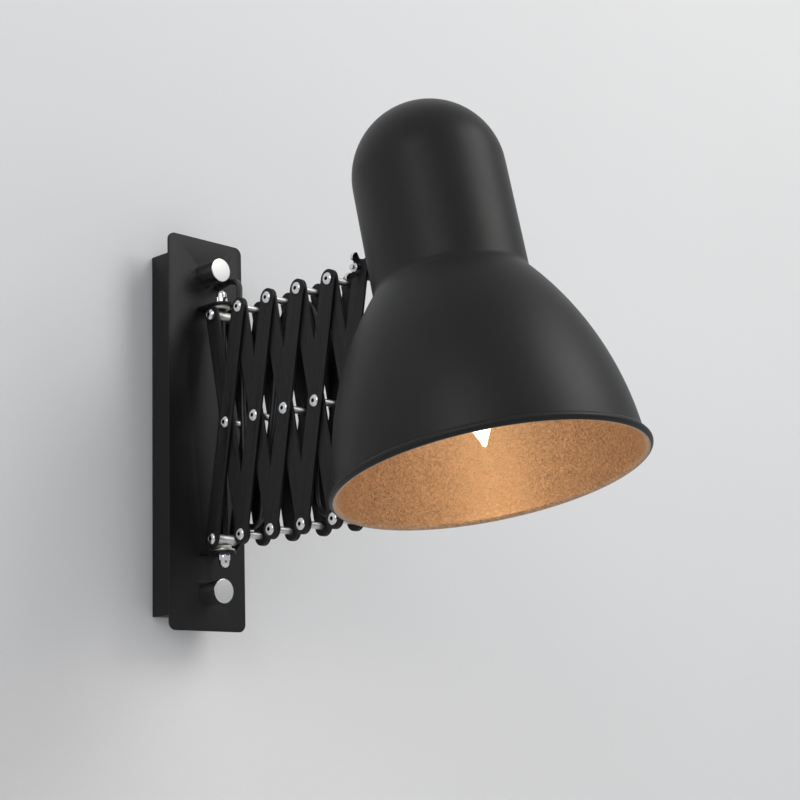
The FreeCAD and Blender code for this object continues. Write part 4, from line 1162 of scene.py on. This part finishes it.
class LAMP_OT_stage(LampOperator):
    """Makes the wall, the floor and the light"""
    bl_idname = "lamp.stage"
    bl_label = "Stage"
    half, wall_gap = 4.0, 0.0005    # a sheet's half width and its gap behind the lamp, in metres
    side_share = 0.42               # the side light's power, as a share of the key's
    target = (0, -0.2, 0)           # what both area lights point at, in metres
    daylight = (0.93, 0.95, 1.0)    # the room's light
    lamp_power, lamp_radius, lamp_height = 0.14, 0.012, 6.0     # watts, metres, mm above the rim

    def make(self):
        stage = bpy.context.scene.lamp_stage
        self.sheet("wall", stage.wall, at((0, self.wall_gap, 0), OUTWARD))
        self.sheet("floor", stage.floor, at((0, 0, -stage.drop)))
        self.area("key", (1.1, -1.9, 1.5), 1.5, stage.key, (1.0, 0.985, 0.96))
        self.area("side", (-1.9, -1.0, 0.9), 1.2, stage.key * self.side_share, (0.95, 0.97, 1.0))
        self.lamp_light()
        world = bpy.data.worlds.new("room")
        world.use_nodes = True
        back = world.node_tree.nodes["Background"]
        back.inputs["Color"].default_value = (*self.daylight, 1)
        back.inputs["Strength"].default_value = stage.fill
        bpy.context.scene.world = world
        bpy.context.scene.view_settings.view_transform = "Standard"

    def sheet(self, name, colour, place):
        """A plain sheet that is seen only from its front."""
        mesh = bpy.data.meshes.new(name)
        corners = [(x * self.half, y * self.half, 0) for x, y in ((-1, -1), (1, -1), (1, 1), (-1, 1))]
        mesh.from_pydata(corners, [], [(0, 1, 2, 3)])
        mesh.transform(place)
        piece = shown(bpy.data.objects.new(name, mesh))
        s = Shader(f"{name}_plaster", Roughness=0.8)
        soft, fine = s.noise(3.0, 3.0), s.noise(220.0, 3.0)
        s.set(Base_Color=s.blend(soft * 0.6 + fine * 0.4, shaded(colour, 0.97), shaded(colour, 1.03)))
        s.bump(fine, 0.12, 0.5)
        out = s.tree.nodes["Material Output"]
        behind = s.node("ShaderNodeNewGeometry", output="Backfacing")
        clear = s.node("ShaderNodeBsdfTransparent")
        seen = s.node("ShaderNodeMixShader", None, {0: behind, 1: s.surface.outputs[0], 2: clear})
        feed(s.tree, seen, out.inputs["Surface"])
        mesh.materials.append(s.material)

    def area(self, name, place, side, power, colour):
        light = bpy.data.lights.new(name, "AREA")
        light.size = side
        light.energy = power
        light.color = colour
        holder = shown(bpy.data.objects.new(name, light))
        aim = Vector(self.target) - Vector(place)
        holder.matrix_world = at(place, aim.to_track_quat("-Z", "Y").to_matrix().to_4x4())

    def lamp_light(self):
        """The lit lamp's own light, just below its tip, so that its glass doesn't shade it."""
        light = bpy.data.lights.new("lamp_light", "POINT")
        light.energy = self.lamp_power
        light.color = finish().glow
        light.shadow_soft_size = self.lamp_radius
        holder = shown(bpy.data.objects.new("lamp_light", light))
        holder.matrix_world = at((IN_HEAD @ Vector((0, 0, self.lamp_height))) * MM)
        holder.visible_camera = False


OPERATORS = (LAMP_OT_camera, LAMP_OT_cord, LAMP_OT_links, LAMP_OT_pivots, LAMP_OT_wall_unit,
             LAMP_OT_guide_rod, LAMP_OT_shade, LAMP_OT_head_pivot, LAMP_OT_lampholder, LAMP_OT_stage)


class LAMP_PT_panel(bpy.types.Panel):
    """Lists the lamp's operators and settings"""
    bl_label = "Accordion wall lamp"
    bl_idname = "LAMP_PT_panel"
    bl_space_type = "VIEW_3D"
    bl_region_type = "UI"
    bl_category = "Lamp"

    def draw(self, context):
        for operator in OPERATORS:
            self.layout.operator(operator.bl_idname)
        for group in (context.scene.lamp_finish, context.scene.lamp_sizes, context.scene.lamp_stage):
            for name in group.bl_rna.properties.keys():
                if name not in ("rna_type", "name"):
                    self.layout.prop(group, name)


GROUPS = {"lamp_finish": LampFinish, "lamp_sizes": LampSizes, "lamp_stage": LampStage}


def register():
    for name, group in GROUPS.items():
        bpy.utils.register_class(group)
        setattr(bpy.types.Scene, name, bpy.props.PointerProperty(type=group))
    for thing in (*OPERATORS, LAMP_PT_panel):
        bpy.utils.register_class(thing)


def unregister():
    for thing in (LAMP_PT_panel, *reversed(OPERATORS)):
        bpy.utils.unregister_class(thing)
    for name, group in GROUPS.items():
        delattr(bpy.types.Scene, name)
        bpy.utils.unregister_class(group)


def main():
    """Makes the lamp and its stage."""
    register()
    for operator in OPERATORS:
        group, name = operator.bl_idname.split(".")
        getattr(getattr(bpy.ops, group), name)()


if __name__ == "__main__":
    main()
